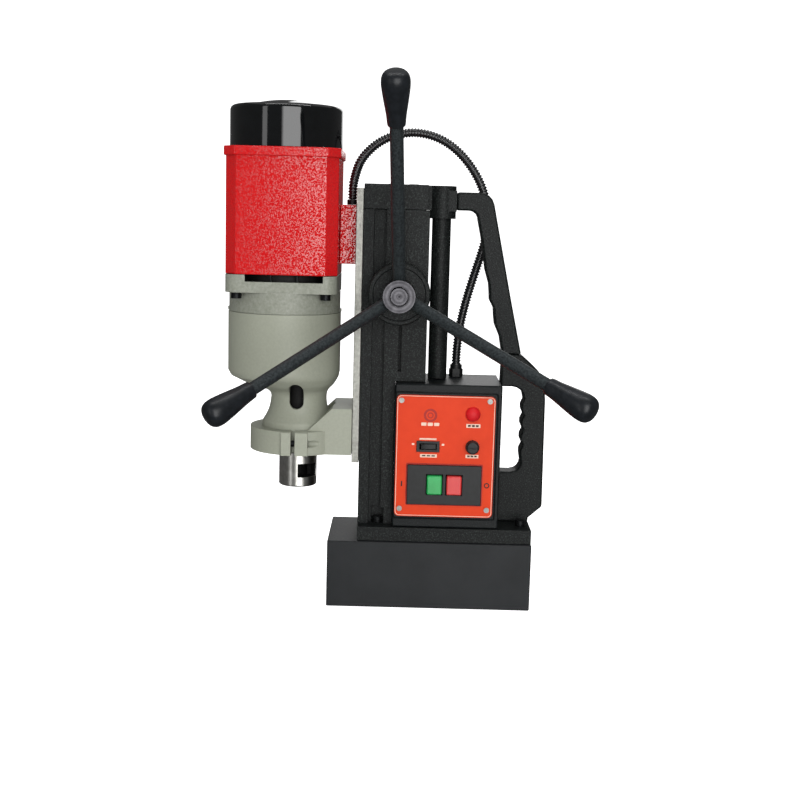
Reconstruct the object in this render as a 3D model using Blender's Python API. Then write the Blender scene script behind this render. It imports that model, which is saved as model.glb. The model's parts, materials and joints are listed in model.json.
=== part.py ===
"""Magnetic drill press: an electromagnet base with a column, a rack-fed carriage that holds a
motor, gear case and spindle, a three-spoke feed handle, and a control box with a carry handle.

Units are metres, +Z is up. The origin is the centre of the base's underside. +X runs from the
spindle towards the carry handle, and -Y is the operator's side.
"""
from math import acos, atan2, cos, pi, radians, sin, tan

import bmesh
import bpy
from mathutils import Matrix, Vector

GAP = 0.0003                      # clearance between pieces that touch

# Magnet base
BASE_SIZE = (0.200, 0.100, 0.066)
BASE_WALL = 0.010
BASE_TOP = 0.012
CORE_HALF = (0.072, 0.022)
COIL_THICKNESS = 0.015
COIL_HEIGHTS = (0.006, 0.050)

# Column casting and its foot
FOOT_X = (-0.071, 0.0995)
FOOT_HALF_Y = 0.047
FOOT_Z = (0.0663, 0.0803)
COLUMN_LEFT = -0.0713
COLUMN_RIGHT = -0.008
COLUMN_LOW_RIGHT = -0.0373        # right face beside the control box
COLUMN_HALF_Y = 0.032
COLUMN_TOP = 0.3877
RECESS_X = (-0.061, -0.049)
RECESS_DEPTH = 0.007
SLOT_X = (-0.035, -0.0325)
SLOT_DEPTH = 0.007
GROOVE_MOUTH_HALF = 0.014
GROOVE_BASE_HALF = 0.0195
GROOVE_BASE_X = -0.057
RACK_SPACE = (-0.0445, 0.0085)    # right face and half width of the slot for the rack
BOLT_PLACES = ((-0.052, -0.0262), (-0.052, 0.0262), (0.090, -0.029), (0.090, 0.029))
BOLT_SHANK = 0.003
BOLT_HEAD = 0.005
BOLT_HEAD_HEIGHT = 0.006

# Feed pinion, rack and handle
FEED_AXIS = (-0.0355, 0.3083)     # x and z of the pinion's axis, which runs along Y
FEED_MODULE = 0.002
PINION_TEETH = 12
PINION_Y = (-0.0095, 0.0095)
SHAFT_RADIUS = 0.007
SHAFT_Y = (-0.0880, 0.0360)
BOSS_RADIUS = 0.0295
BOSS_FRONT = -0.058
FRONT_BUSH_RADIUS = 0.0147
REAR_BUSH_RADIUS = 0.0100
RACK_Z = (0.2240, 0.3940)
RACK_BACK = -0.0573
RACK_HALF_Y = 0.007
HUB_RADIUS = 0.0150
HUB_Y = (-0.092, -0.062)
HUB_CAP_RADIUS = 0.0090
HUB_CAP_DEPTH = 0.004
LEVER_ROOT_Y = -0.070             # where the three lever axes meet the hub's axis
LEVER_SPLAY = radians(30.0)
LEVER_FIRST = radians(92.2)
LEVER_RADIUS = 0.006
LEVER_START = 0.0125
LEVER_END = 0.190
KNOB_START = 0.1715
KNOB_END = 0.2244

# Carriage: slide plate, clamp arm
SLIDE_X = (-0.0784, -0.0716)
SLIDE_HALF_Y = 0.035
SLIDE_Z = (0.1414, 0.4071)
DOVETAIL_Z = (0.1550, 0.4000)
DOVETAIL_X = -0.0576
GIB_THICKNESS = 0.003
SPINDLE_X = -0.1335
RING_RADIUS = 0.0478
RING_Z = (0.149, 0.172)
ARM_BLOCK_X = (-0.098, -0.0787)
ARM_HALF_Y = 0.038
ARM_Z = (0.150, 0.1945)
SPIGOT_RADIUS = 0.0357
EAR_X = (-0.1465, -0.1205)
EAR_FRONT = -0.0505
SLIT_X = (-0.1370, -0.1330)
CLAMP_SCREW_YZ = (-0.0445, 0.1605)

# Motor and gear case
MOTOR_X = -0.1485
CASE_RADIUS = 0.0555
CASE_WALL = 0.005
CASE_SEAM = 0.2858
CASE_FLOOR = 0.230
NECK_RADIUS = 0.028
NECK_BORE = 0.0233
WINDOW_SIZE = (0.0139, 0.0270)
WINDOW_Z = 0.205
UPPER_RADIUS = 0.0547
FLANGE_Z = (0.306, 0.3230)
HOUSING_HALF = 0.0534
HOUSING_CORNER = 0.016
HOUSING_WALL = 0.004
HOUSING_Z = (0.3233, 0.4430)
BAND_HALF = 0.0554
BAND_Z = 0.4342
CAP_RADIUS = 0.0549
CAP_RIM = 0.478
CAP_TOP = 0.4895
CAP_WALL = 0.003
TERMINAL_X = (-0.0948, -0.0788)
TERMINAL_Y = (-0.012, 0.032)
TERMINAL_Z = (0.334, 0.391)

# Gear train: armature pinion, idler wheel and pinion, spindle wheel
STAGE_ONE = (0.00125, 10, 26)     # module, driving teeth, driven teeth
STAGE_TWO = (0.00175, 9, 27)
WHEEL_ONE_Z = (0.266, 0.278)
WHEEL_TWO_Z = (0.240, 0.254)
PRESSURE = radians(20.0)
BACKLASH = 0.0004

# Spindle
NOSE_RADIUS = 0.0189
NOSE_Z = (0.1117, 0.146)
SOCKET_RADIUS = 0.0096
SOCKET_TOP = 0.160

# Control box and its fittings
BOX_X = (-0.037, 0.0665)
BOX_Y = (-0.045, 0.037)
BOX_Z = (0.0806, 0.222)
BOX_WALL = 0.004
PANEL_X = (-0.0352, 0.0602)
PANEL_Z = (0.0920, 0.2115)
PANEL_Y = (-0.0465, -0.0453)
FITTING_FACE = -0.0468            # the back of what sits on the panel
SWITCH_X = (-0.0235, 0.0487)
SWITCH_Z = (0.1045, 0.1437)
SWITCH_FRONT = -0.0500
START_X = (-0.0042, 0.0103)
STOP_X = (0.0149, 0.0294)
BUTTON_Z = (0.1152, 0.1338)
BUTTON_Y = (-0.0536, -0.0345)
LAMP_XZ = (0.0385, 0.1940)
FUSE_XZ = (0.0390, 0.1620)
ROCKER_XZ = (-0.0040, 0.1615)
ROCKER_PIVOT_Y = -0.0460
ROCKER_REST = radians(8.0)

# Post, handles, leads
POST_X = 0.004
POST_RADIUS = 0.0093
POST_BORE = 0.006
POST_Z = (0.2223, 0.3990)
TOP_Z = (0.3880, 0.4115)
BOSS_Z = 0.380
POST_BOSS_RADIUS = 0.0137
HANDLE_HALF_Y = 0.012
HANDLE_SPLIT_Z = 0.2493
CONDUIT_RADIUS = 0.0047
CONDUIT_STEPS = 2                 # points on each span of its route
BOX_GLAND_XY = (0.0235, 0.020)
BOX_GLAND_TOP = 0.2345
MOTOR_GLAND_XY = (-0.0845, 0.0215)
MOTOR_GLAND_TOP = 0.3965
MAINS_GLAND_XZ = (0.044, 0.106)

COLOURS = {                       # linear base colour, metallic, roughness
    "black_paint": ((0.020, 0.022, 0.023), 0.0, 0.60),
    "base_paint": ((0.030, 0.031, 0.033), 0.0, 0.55),
    "red_paint": ((0.560, 0.020, 0.016), 0.0, 0.45),
    "grey_paint": ((0.380, 0.390, 0.330), 0.0, 0.50),
    "machined_steel": ((0.450, 0.450, 0.440), 1.0, 0.35),
    "black_steel": ((0.030, 0.030, 0.032), 0.8, 0.45),
    "slide_steel": ((0.480, 0.480, 0.450), 0.8, 0.45),
    "gloss_black": ((0.010, 0.010, 0.011), 0.0, 0.12),
    "matt_black": ((0.015, 0.015, 0.016), 0.0, 0.65),
    "orange_panel": ((0.800, 0.065, 0.014), 0.0, 0.35),
    "green_button": ((0.030, 0.400, 0.120), 0.0, 0.35),
    "red_button": ((0.700, 0.050, 0.045), 0.0, 0.35),
    "red_lens": ((0.600, 0.010, 0.015), 0.0, 0.15),
    "copper": ((0.550, 0.220, 0.080), 1.0, 0.45),
    "bronze": ((0.480, 0.300, 0.120), 1.0, 0.40),
    "core_steel": ((0.200, 0.200, 0.205), 0.9, 0.50),
    "board_green": ((0.020, 0.160, 0.060), 0.0, 0.50),
}


def clear_scene():
    for item in list(bpy.data.objects):
        bpy.data.objects.remove(item, do_unlink=True)


def material(name):
    """Return the Principled material of that name, made the first time it is asked for."""
    found = bpy.data.materials.get(name)
    if found:
        return found
    colour, metallic, roughness = COLOURS[name]
    made = bpy.data.materials.new(name)
    made.use_nodes = True
    shader = made.node_tree.nodes["Principled BSDF"]
    shader.inputs["Base Color"].default_value = (*colour, 1.0)
    shader.inputs["Metallic"].default_value = metallic
    shader.inputs["Roughness"].default_value = roughness
    return made


def make(name, mesh, finish, pivot=(0.0, 0.0, 0.0)):
    """Turn a bmesh in world coordinates into an object with its origin at the pivot."""
    bmesh.ops.recalc_face_normals(mesh, faces=mesh.faces)
    data = bpy.data.meshes.new(name)
    mesh.to_mesh(data)
    mesh.free()
    data.transform(Matrix.Translation(-Vector(pivot)))
    data.materials.append(material(finish))
    data.shade_smooth()
    data.set_sharp_from_angle(angle=radians(35.0))
    item = bpy.data.objects.new(name, data)
    item.location = pivot
    bpy.context.scene.collection.objects.link(item)
    return item


def tool(mesh):
    """A hidden solid used only by a Boolean."""
    item = make("tool", mesh, "machined_steel")
    item.hide_render = True
    item.display_type = "WIRE"
    return item


def boolean(item, operation, mesh):
    change = item.modifiers.new(operation.lower(), "BOOLEAN")
    change.solver = "EXACT"
    change.operation = operation
    change.object = tool(mesh)


def cut(item, *meshes):
    for mesh in meshes:
        boolean(item, "DIFFERENCE", mesh)


def join(item, *meshes):
    for mesh in meshes:
        boolean(item, "UNION", mesh)


def along(axis, u, v, height):
    """Place a point of a 2-D outline (u, v) at a height along the given axis."""
    if axis == "X":
        return Vector((height, u, v))
    if axis == "Y":
        return Vector((u, height, v))
    return Vector((u, v, height))


def prism(outline, low, high, axis="Z"):
    """Extrude a closed outline along an axis."""
    mesh = bmesh.new()
    rings = [[mesh.verts.new(along(axis, u, v, height)) for u, v in outline] for height in (low, high)]
    mesh.faces.new(rings[0])
    mesh.faces.new(rings[1])
    bridge(mesh, rings[0], rings[1])
    return mesh


def bridge(mesh, ring_a, ring_b):
    """Join two rings of vertices; a ring of one vertex is a pole."""
    count = max(len(ring_a), len(ring_b))
    for index in range(count):
        after = (index + 1) % count
        corners = [ring_a[index % len(ring_a)], ring_a[after % len(ring_a)],
                   ring_b[after % len(ring_b)], ring_b[index % len(ring_b)]]
        mesh.faces.new(list(dict.fromkeys(corners)))


def box(x, y, z):
    return prism(((x[0], y[0]), (x[1], y[0]), (x[1], y[1]), (x[0], y[1])), z[0], z[1])


def circle(u, v, radius, segments):
    return [(u + radius * cos(2 * pi * step / segments), v + radius * sin(2 * pi * step / segments))
            for step in range(segments)]


def disc(u, v, radius, low, high, axis="Z", segments=24):
    return prism(circle(u, v, radius, segments), low, high, axis)


def lathe(profile, u, v, axis="Z", segments=32):
    """Turn an open profile of (radius, height), whose ends lie on the axis, about (u, v)."""
    mesh = bmesh.new()
    rings = []
    for radius, height in profile:
        points = circle(u, v, radius, segments) if radius > 0.0 else [(u, v)]
        rings.append([mesh.verts.new(along(axis, *point, height)) for point in points])
    for lower, upper in zip(rings, rings[1:]):
        bridge(mesh, lower, upper)
    return mesh


def loft(sections, segments):
    """Join circles of (centre x, radius, height) into a closed wall, last to first."""
    mesh = bmesh.new()
    rings = [[mesh.verts.new((x, y, height)) for x, y in circle(centre, 0.0, radius, segments)]
             for centre, radius, height in sections]
    for lower, upper in zip(rings, rings[1:] + rings[:1]):
        bridge(mesh, lower, upper)
    return mesh


def tube(u, v, outer, inner, low, high, axis="Z", segments=32):
    """A ring with a square section."""
    mesh = bmesh.new()
    rings = []
    for radius, height in ((outer, low), (outer, high), (inner, high), (inner, low)):
        points = circle(u, v, radius, segments)
        rings.append([mesh.verts.new(along(axis, *point, height)) for point in points])
    for lower, upper in zip(rings, rings[1:] + rings[:1]):
        bridge(mesh, lower, upper)
    return mesh


def rounded_square(u, v, half, corner, steps=4):
    """Outline of a square with round corners."""
    outline = []
    for quarter, (side_u, side_v) in enumerate(((1, 1), (-1, 1), (-1, -1), (1, -1))):
        centre = (u + side_u * (half - corner), v + side_v * (half - corner))
        for step in range(steps + 1):
            angle = pi / 2 * (quarter + step / steps)
            outline.append((centre[0] + corner * cos(angle), centre[1] + corner * sin(angle)))
    return outline


def stadium(u, v, width, height, steps=8):
    """Outline of an upright slot with round ends."""
    radius = width / 2
    rise = height / 2 - radius
    top = [(u + radius * cos(pi * step / steps), v + rise + radius * sin(pi * step / steps))
           for step in range(steps + 1)]
    return top + [(2 * u - a, 2 * v - b) for a, b in top]


def flank_angle(radius, base, teeth, pitch):
    """Half the angle that a tooth takes up at a radius."""
    def involute(angle):
        return tan(angle) - angle
    half = pi / (2 * teeth) - BACKLASH / (2 * pitch)
    if radius <= base:
        return half + involute(PRESSURE)
    return half + involute(PRESSURE) - involute(acos(base / radius))


def gear_outline(u, v, module, teeth, first=0.0):
    """Spur gear outline with one tooth centred on the angle given."""
    pitch = module * teeth / 2
    base = pitch * cos(PRESSURE)
    tip = pitch + 0.8 * module
    root = pitch - 1.15 * module
    radii = (root, max(base, root + 0.1 * module), pitch, tip)
    outline = []
    for tooth in range(teeth):
        centre = first + 2 * pi * tooth / teeth
        rising = [(radius, centre - flank_angle(radius, base, teeth, pitch)) for radius in radii]
        falling = [(radius, 2 * centre - angle) for radius, angle in reversed(rising)]
        outline += [(u + radius * cos(angle), v + radius * sin(angle)) for radius, angle in rising + falling]
    return outline


def idler_place():
    """The idler's axis, from the two centre distances of the gear train."""
    first = STAGE_ONE[0] * (STAGE_ONE[1] + STAGE_ONE[2]) / 2
    second = STAGE_TWO[0] * (STAGE_TWO[1] + STAGE_TWO[2]) / 2
    between = SPINDLE_X - MOTOR_X
    offset = (first ** 2 - second ** 2 + between ** 2) / (2 * between)
    return MOTOR_X + offset, (first ** 2 - offset ** 2) ** 0.5


def mesh_phase(driver, driven, driver_teeth, driven_teeth, driver_first):
    """Angle of a driven gear's tooth so that it stands in a gap of its driver."""
    line = atan2(driven[1] - driver[1], driven[0] - driver[0])
    turned = (line - driver_first) * driver_teeth
    return line + pi + (pi + turned) / driven_teeth


# Magnet base

def magnet_housing():
    length, depth, height = BASE_SIZE
    item = make("magnet_housing", box((-length / 2, length / 2), (-depth / 2, depth / 2), (0.0, height)),
                "base_paint")
    inner_x = length / 2 - BASE_WALL
    inner_y = depth / 2 - BASE_WALL
    cut(item, box((-inner_x, inner_x), (-inner_y, inner_y), (-0.010, height - BASE_TOP)))
    for x, y in BOLT_PLACES:
        cut(item, disc(x, y, BOLT_SHANK + GAP, height - BASE_TOP + 0.002, height + 0.010))


def magnet_core():
    x, y = CORE_HALF
    make("magnet_core", box((-x, x), (-y, y), (0.0, BASE_SIZE[2] - BASE_TOP - GAP)), "core_steel")


def magnet_coil():
    x = CORE_HALF[0] + 0.0015
    y = CORE_HALF[1] + 0.0015
    item = make("magnet_coil", box((-x - COIL_THICKNESS, x + COIL_THICKNESS),
                                   (-y - COIL_THICKNESS, y + COIL_THICKNESS), COIL_HEIGHTS), "copper")
    cut(item, box((-x, x), (-y, y), (0.0, 0.060)))


def foot_bolts():
    for number, (x, y) in enumerate(BOLT_PLACES, 1):
        shank_bottom = BASE_SIZE[2] - BASE_TOP + 0.0025
        seat = FOOT_Z[1] + GAP
        head = seat + BOLT_HEAD_HEIGHT
        profile = ((0.0, shank_bottom), (BOLT_SHANK, shank_bottom), (BOLT_SHANK, seat),
                   (BOLT_HEAD, seat), (BOLT_HEAD, head), (0.0, head))
        make(f"foot_bolt_{number}", lathe(profile, x, y, segments=16), "machined_steel")


# Column

def groove_half(x):
    """Half width of the dovetail groove at x."""
    share = (x - COLUMN_LEFT) / (GROOVE_BASE_X - COLUMN_LEFT)
    return GROOVE_MOUTH_HALF + share * (GROOVE_BASE_HALF - GROOVE_MOUTH_HALF)


def groove(low, high):
    """The dovetail groove and the slot behind it for the rack."""
    start = COLUMN_LEFT - 0.005
    right, half = RACK_SPACE
    outline = ((start, -groove_half(start)), (GROOVE_BASE_X, -GROOVE_BASE_HALF), (GROOVE_BASE_X, -half),
               (right, -half), (right, half), (GROOVE_BASE_X, half),
               (GROOVE_BASE_X, GROOVE_BASE_HALF), (start, groove_half(start)))
    return prism(outline, low, high)


def column_casting():
    upper = BOX_Z[1] + GAP
    front_profile = ((COLUMN_LEFT, FOOT_Z[1] - 0.001), (COLUMN_LOW_RIGHT, FOOT_Z[1] - 0.001),
                     (COLUMN_LOW_RIGHT, upper), (COLUMN_RIGHT, upper),
                     (COLUMN_RIGHT, COLUMN_TOP), (COLUMN_LEFT, COLUMN_TOP))
    item = make("column_casting", prism(front_profile, -COLUMN_HALF_Y, COLUMN_HALF_Y, "Y"), "black_paint")
    join(item, box(FOOT_X, (-FOOT_HALF_Y, FOOT_HALF_Y), FOOT_Z))
    above = COLUMN_TOP + 0.010
    for side in (-1, 1):
        faces = sorted((side * (COLUMN_HALF_Y + 0.005), side * (COLUMN_HALF_Y - RECESS_DEPTH)))
        cut(item, box(RECESS_X, faces, (FOOT_Z[1] + 0.0002, above)))
        cut(item, box(SLOT_X, faces, (upper + 0.010, above)))
    boss_back = -COLUMN_HALF_Y + RECESS_DEPTH + 0.001
    join(item, disc(*FEED_AXIS, BOSS_RADIUS, BOSS_FRONT, boss_back, "Y", 40))
    cut(item, groove(FOOT_Z[1], above))
    cut(item, disc(*FEED_AXIS, FRONT_BUSH_RADIUS + GAP, BOSS_FRONT - 0.010, PINION_Y[1] + 0.002, "Y"))
    cut(item, disc(*FEED_AXIS, REAR_BUSH_RADIUS + GAP, 0.0, COLUMN_HALF_Y + 0.010, "Y"))
    for x, y in BOLT_PLACES:
        cut(item, disc(x, y, BOLT_SHANK + GAP, FOOT_Z[0] - 0.005, FOOT_Z[1] + 0.003))
    pocket = BOLT_HEAD + 0.001
    for x, y in BOLT_PLACES[:2]:
        faces = sorted((y - pocket * (1 if y > 0 else -1), y + 0.010 * (1 if y > 0 else -1)))
        cut(item, box((x - pocket, x + pocket), faces, (FOOT_Z[1] + 0.0001, FOOT_Z[1] + 0.016)))
    for z in gib_screw_heights():
        cut(item, disc(gib_screw_x(), z, 0.0023, 0.010, COLUMN_HALF_Y + 0.010, "Y", 12))


def gib_screw_x():
    return (COLUMN_LEFT + GROOVE_BASE_X) / 2


def gib_screw_heights():
    return (0.175, 0.255, 0.350)


def gib_strip():
    """A thin parallel strip between the groove's rear flank and the dovetail."""
    ends = (COLUMN_LEFT + 0.001, GROOVE_BASE_X - 0.001)
    outer = [groove_half(x) - GAP - 0.0001 for x in ends]
    outline = ((ends[0], outer[0]), (ends[1], outer[1]),
               (ends[1], outer[1] - GIB_THICKNESS), (ends[0], outer[0] - GIB_THICKNESS))
    make("gib_strip", prism(outline, 0.090, COLUMN_TOP - 0.002), "bronze")


def gib_screws():
    tip = groove_half(gib_screw_x() + 0.002) + 0.0001
    end = COLUMN_HALF_Y + 0.002
    for number, z in enumerate(gib_screw_heights(), 1):
        make(f"gib_screw_{number}", disc(gib_screw_x(), z, 0.002, tip, end, "Y", 12), "black_steel")


def top_bracket():
    right = COLUMN_RIGHT - 0.002
    item = make("top_bracket", box((COLUMN_LEFT, right), (-COLUMN_HALF_Y, COLUMN_HALF_Y), TOP_Z), "black_paint")
    join(item, box((right - 0.001, POST_X), (-0.009, 0.020), TOP_Z))
    join(item, disc(POST_X, 0.0, POST_BOSS_RADIUS, BOSS_Z, TOP_Z[1], segments=32))
    join(item, box((POST_X, 0.0180), (-HANDLE_HALF_Y, HANDLE_HALF_Y), (0.3870, 0.4070)))
    cut(item, groove(TOP_Z[0] - 0.010, TOP_Z[1] + 0.010))
    cut(item, box((right - 0.010, COLUMN_RIGHT + GAP), (-0.030, 0.030), (BOSS_Z - 0.010, TOP_Z[0])))
    cut(item, disc(POST_X, 0.0, POST_RADIUS + GAP, BOSS_Z - 0.010, POST_Z[1] + GAP))


def rear_post():
    make("rear_post", tube(POST_X, 0.0, POST_RADIUS, POST_BORE, *POST_Z, segments=24), "black_paint")


# Carry handle

def arc(centre, radius, start, end, steps):
    return [(centre[0] + radius * cos(radians(start + (end - start) * step / steps)),
             centre[1] + radius * sin(radians(start + (end - start) * step / steps)))
            for step in range(steps + 1)]


def upper_handle():
    outer = [(0.0184, 0.4058), (0.0410, 0.4058)] + arc((0.0410, 0.3920), 0.0138, 75, 12, 3)
    outer += [(0.0738, 0.3043), (0.0861, HANDLE_SPLIT_Z)]
    inner = [(0.0675, HANDLE_SPLIT_Z), (0.0645, 0.2660), (0.0592, 0.2780), (0.0580, 0.2870),
             (0.0575, 0.2940), (0.0533, 0.3020), (0.0528, 0.3100), (0.0520, 0.3180), (0.0478, 0.3320),
             (0.0430, 0.3630), (0.0395, 0.3790)]
    inner += arc((0.0310, 0.3800), 0.0083, 15, 90, 3) + [(0.0184, 0.3883)]
    make("upper_handle", prism(outer + inner, -HANDLE_HALF_Y, HANDLE_HALF_Y, "Y"), "black_paint")


def lower_handle():
    left = BOX_X[1] + GAP
    top = HANDLE_SPLIT_Z - GAP
    bottom = FOOT_Z[1] + GAP
    outer = [(0.0677, top), (0.0863, top), (0.0985, 0.2385), (0.1047, 0.2325), (0.1098, 0.2250),
             (0.1118, 0.2050), (0.1128, 0.0965), (0.0993, bottom + 0.004), (0.0993, bottom), (left, bottom)]
    grip_x = 0.0897
    inner = [(left, 0.1313), (0.0795, 0.1313)] + arc((0.0795, 0.1415), 0.0102, -60, 0, 3)
    crests = 4
    low = 0.1460
    pitch = 0.0150
    for crest in range(crests):
        base = low + crest * pitch
        inner += [(grip_x - 0.0012, base + 0.2 * pitch), (grip_x - 0.0012, base + 0.5 * pitch),
                  (grip_x + 0.0012, base + 0.85 * pitch)]
    inner += arc((0.0785, 0.2055), 0.0118, 0, 90, 4) + [(left, 0.2173)]
    make("lower_handle", prism(outer + inner, -HANDLE_HALF_Y, HANDLE_HALF_Y, "Y"), "black_paint")


# Control box

def slab(x, z, y):
    """A box given by its front view and its depth."""
    return box(x, y, z)


def widened(span, amount):
    return span[0] - amount, span[1] + amount


def about(centre, half):
    return centre - half, centre + half


def control_box():
    item = make("control_box", box(BOX_X, BOX_Y, BOX_Z), "black_paint")
    inner = box(widened(BOX_X, -BOX_WALL), (BOX_Y[0] + BOX_WALL, BOX_Y[1] + 0.010), widened(BOX_Z, -BOX_WALL))
    cut(item, inner)
    front = (BOX_Y[0] - 0.010, BOX_Y[0] + BOX_WALL + 0.002)
    cut(item, slab(widened(SWITCH_X, -0.0055), widened(SWITCH_Z, -0.0035), front))
    cut(item, slab(about(ROCKER_XZ[0], 0.0096), about(ROCKER_XZ[1], 0.0042), front))
    cut(item, disc(*LAMP_XZ, 0.0064, *front, "Y", 20))
    cut(item, disc(*FUSE_XZ, 0.0054, *front, "Y", 20))
    cut(item, disc(*BOX_GLAND_XY, 0.0043, BOX_Z[1] - 0.010, BOX_Z[1] + 0.010, segments=20))


def control_box_cover():
    item = make("control_box_cover", box(BOX_X, (BOX_Y[1] + GAP, BOX_Y[1] + 0.0023), BOX_Z), "black_paint")
    cut(item, disc(*MAINS_GLAND_XZ, 0.0063, BOX_Y[1] - 0.005, BOX_Y[1] + 0.010, "Y", 20))


def control_panel():
    item = make("control_panel", slab(PANEL_X, PANEL_Z, PANEL_Y), "orange_panel")
    through = (PANEL_Y[0] - 0.005, PANEL_Y[1] + 0.005)
    cut(item, slab(widened(SWITCH_X, -0.0055), widened(SWITCH_Z, -0.0035), through))
    cut(item, slab(about(ROCKER_XZ[0], 0.0096), about(ROCKER_XZ[1], 0.0042), through))
    cut(item, disc(*LAMP_XZ, 0.0064, *through, "Y", 20))
    cut(item, disc(*FUSE_XZ, 0.0054, *through, "Y", 20))


def switch_block():
    item = make("switch_block", slab(SWITCH_X, SWITCH_Z, (SWITCH_FRONT, FITTING_FACE)), "matt_black")
    join(item, slab(widened(SWITCH_X, -0.0060), widened(SWITCH_Z, -0.0040), (FITTING_FACE - 0.001, -0.012)))
    for button_x in (START_X, STOP_X):
        cut(item, slab(widened(button_x, 0.0005), widened(BUTTON_Z, 0.0005), (SWITCH_FRONT - 0.005, -0.029)))


def push_buttons():
    for name, span, finish in (("start_button", START_X, "green_button"), ("stop_button", STOP_X, "red_button")):
        pivot = (sum(span) / 2, BUTTON_Y[0], sum(BUTTON_Z) / 2)
        make(name, slab(span, BUTTON_Z, BUTTON_Y), finish, pivot)


def indicator_lamp():
    face = FITTING_FACE
    profile = ((0.0, face - 0.0062), (0.0036, face - 0.0056), (0.0062, face - 0.0034), (0.0071, face - 0.0008),
               (0.0073, face), (0.0060, face), (0.0060, -0.022), (0.0, -0.022))
    make("indicator_lamp", lathe(profile, *LAMP_XZ, "Y", 24), "red_lens")


def fuse_holder():
    item = make("fuse_holder", lathe(((0.0, -0.018), (0.0050, -0.018), (0.0050, FITTING_FACE),
                                      (0.0068, FITTING_FACE), (0.0068, FITTING_FACE - 0.0016),
                                      (0.0, FITTING_FACE - 0.0016)), *FUSE_XZ, "Y", 24), "matt_black")
    cut(item, disc(*FUSE_XZ, 0.0036, -0.060, -0.024, "Y", 16))


def fuse_cap():
    seat = FITTING_FACE - 0.0016 - GAP
    front = seat - 0.0055
    profile = ((0.0, front), (0.0052, front), (0.0062, front + 0.001), (0.0062, seat), (0.0031, seat),
               (0.0031, -0.030), (0.0, -0.030))
    pivot = (FUSE_XZ[0], seat, FUSE_XZ[1])
    item = make("fuse_cap", lathe(profile, *FUSE_XZ, "Y", 20), "matt_black", pivot)
    cut(item, slab(about(FUSE_XZ[0], 0.0045), about(FUSE_XZ[1], 0.0006), (front - 0.005, front + 0.0015)))


def rocker_bezel():
    x, z = ROCKER_XZ
    front = FITTING_FACE - 0.0012
    item = make("rocker_bezel", slab(about(x, 0.0112), about(z, 0.0054), (front, FITTING_FACE)), "matt_black")
    join(item, slab(about(x, 0.0093), about(z, 0.0039), (FITTING_FACE - 0.0005, -0.028)))
    cut(item, slab(about(x, 0.0083), about(z, 0.0029), (front - 0.010, -0.034)))


def magnet_rocker():
    x, z = ROCKER_XZ
    shape = ((-0.0073, -0.0032), (0.0, -0.0018), (0.0073, -0.0032), (0.0070, 0.0040), (-0.0070, 0.0040))
    outline = [(x + u * cos(ROCKER_REST) - v * sin(ROCKER_REST),
                ROCKER_PIVOT_Y + u * sin(ROCKER_REST) + v * cos(ROCKER_REST)) for u, v in shape]
    mesh = prism(outline, *about(z, 0.0025))
    make("magnet_rocker", mesh, "matt_black", (x, ROCKER_PIVOT_Y, z))


def control_board():
    item = make("control_board", box((-0.028, 0.058), (0.0260, 0.0276), (0.092, 0.208)), "board_green")
    join(item, box((-0.015, 0.013), (0.0160, 0.0265), (0.165, 0.193)))
    join(item, disc(0.036, 0.150, 0.009, 0.004, 0.0265, "Y", 16))


def mains_gland():
    outside = BOX_Y[1] + 0.0023 + GAP
    hexagon = circle(*MAINS_GLAND_XZ, 0.0095, 6)
    item = make("mains_gland", prism(hexagon, outside, outside + 0.008, "Y"), "matt_black")
    join(item, disc(*MAINS_GLAND_XZ, 0.0060, BOX_Y[1] - 0.008, outside + 0.016, "Y", 20))
    cut(item, disc(*MAINS_GLAND_XZ, 0.0038, outside + 0.002, outside + 0.030, "Y", 16))


# Feed drive

def feed_pivot():
    return FEED_AXIS[0], LEVER_ROOT_Y, FEED_AXIS[1]


def bushes():
    inner = SHAFT_RADIUS + GAP
    front = tube(*FEED_AXIS, FRONT_BUSH_RADIUS, inner, BOSS_FRONT + 0.0005, PINION_Y[0] - 0.001, "Y", 24)
    make("pinion_bush_front", front, "bronze")
    rear = tube(*FEED_AXIS, REAR_BUSH_RADIUS, inner, PINION_Y[1] + 0.0025, COLUMN_HALF_Y - GAP, "Y", 24)
    make("pinion_bush_rear", rear, "bronze")


def pinion_shaft():
    profile = ((0.0, SHAFT_Y[0]), (SHAFT_RADIUS, SHAFT_Y[0]), (SHAFT_RADIUS, COLUMN_HALF_Y + GAP),
               (0.0095, COLUMN_HALF_Y + GAP), (0.0095, SHAFT_Y[1]), (0.0, SHAFT_Y[1]))
    item = make("pinion_shaft", lathe(profile, *FEED_AXIS, "Y", 24), "machined_steel", feed_pivot())
    join(item, prism(gear_outline(*FEED_AXIS, FEED_MODULE, PINION_TEETH), *PINION_Y, "Y"))


def feed_rack():
    """Straight teeth whose pitch line touches the pinion's pitch circle."""
    pitch_x = FEED_AXIS[0] - FEED_MODULE * PINION_TEETH / 2
    pitch = pi * FEED_MODULE
    tip_x = pitch_x + 0.8 * FEED_MODULE
    root_x = pitch_x - 1.15 * FEED_MODULE
    half = pitch / 4 - BACKLASH / 2
    tip_half = half - (tip_x - pitch_x) * tan(PRESSURE)
    root_half = half + (pitch_x - root_x) * tan(PRESSURE)
    first = int((RACK_Z[0] - FEED_AXIS[1]) / pitch)
    last = int((RACK_Z[1] - FEED_AXIS[1]) / pitch)
    outline = [(RACK_BACK, RACK_Z[1]), (RACK_BACK, RACK_Z[0]), (root_x, RACK_Z[0])]
    for number in range(first, last):
        z = FEED_AXIS[1] + (number + 0.5) * pitch
        outline += [(root_x, z - root_half), (tip_x, z - tip_half), (tip_x, z + tip_half), (root_x, z + root_half)]
    outline.append((root_x, RACK_Z[1]))
    make("feed_rack", prism(outline, -RACK_HALF_Y, RACK_HALF_Y, "Y"), "machined_steel")


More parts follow.
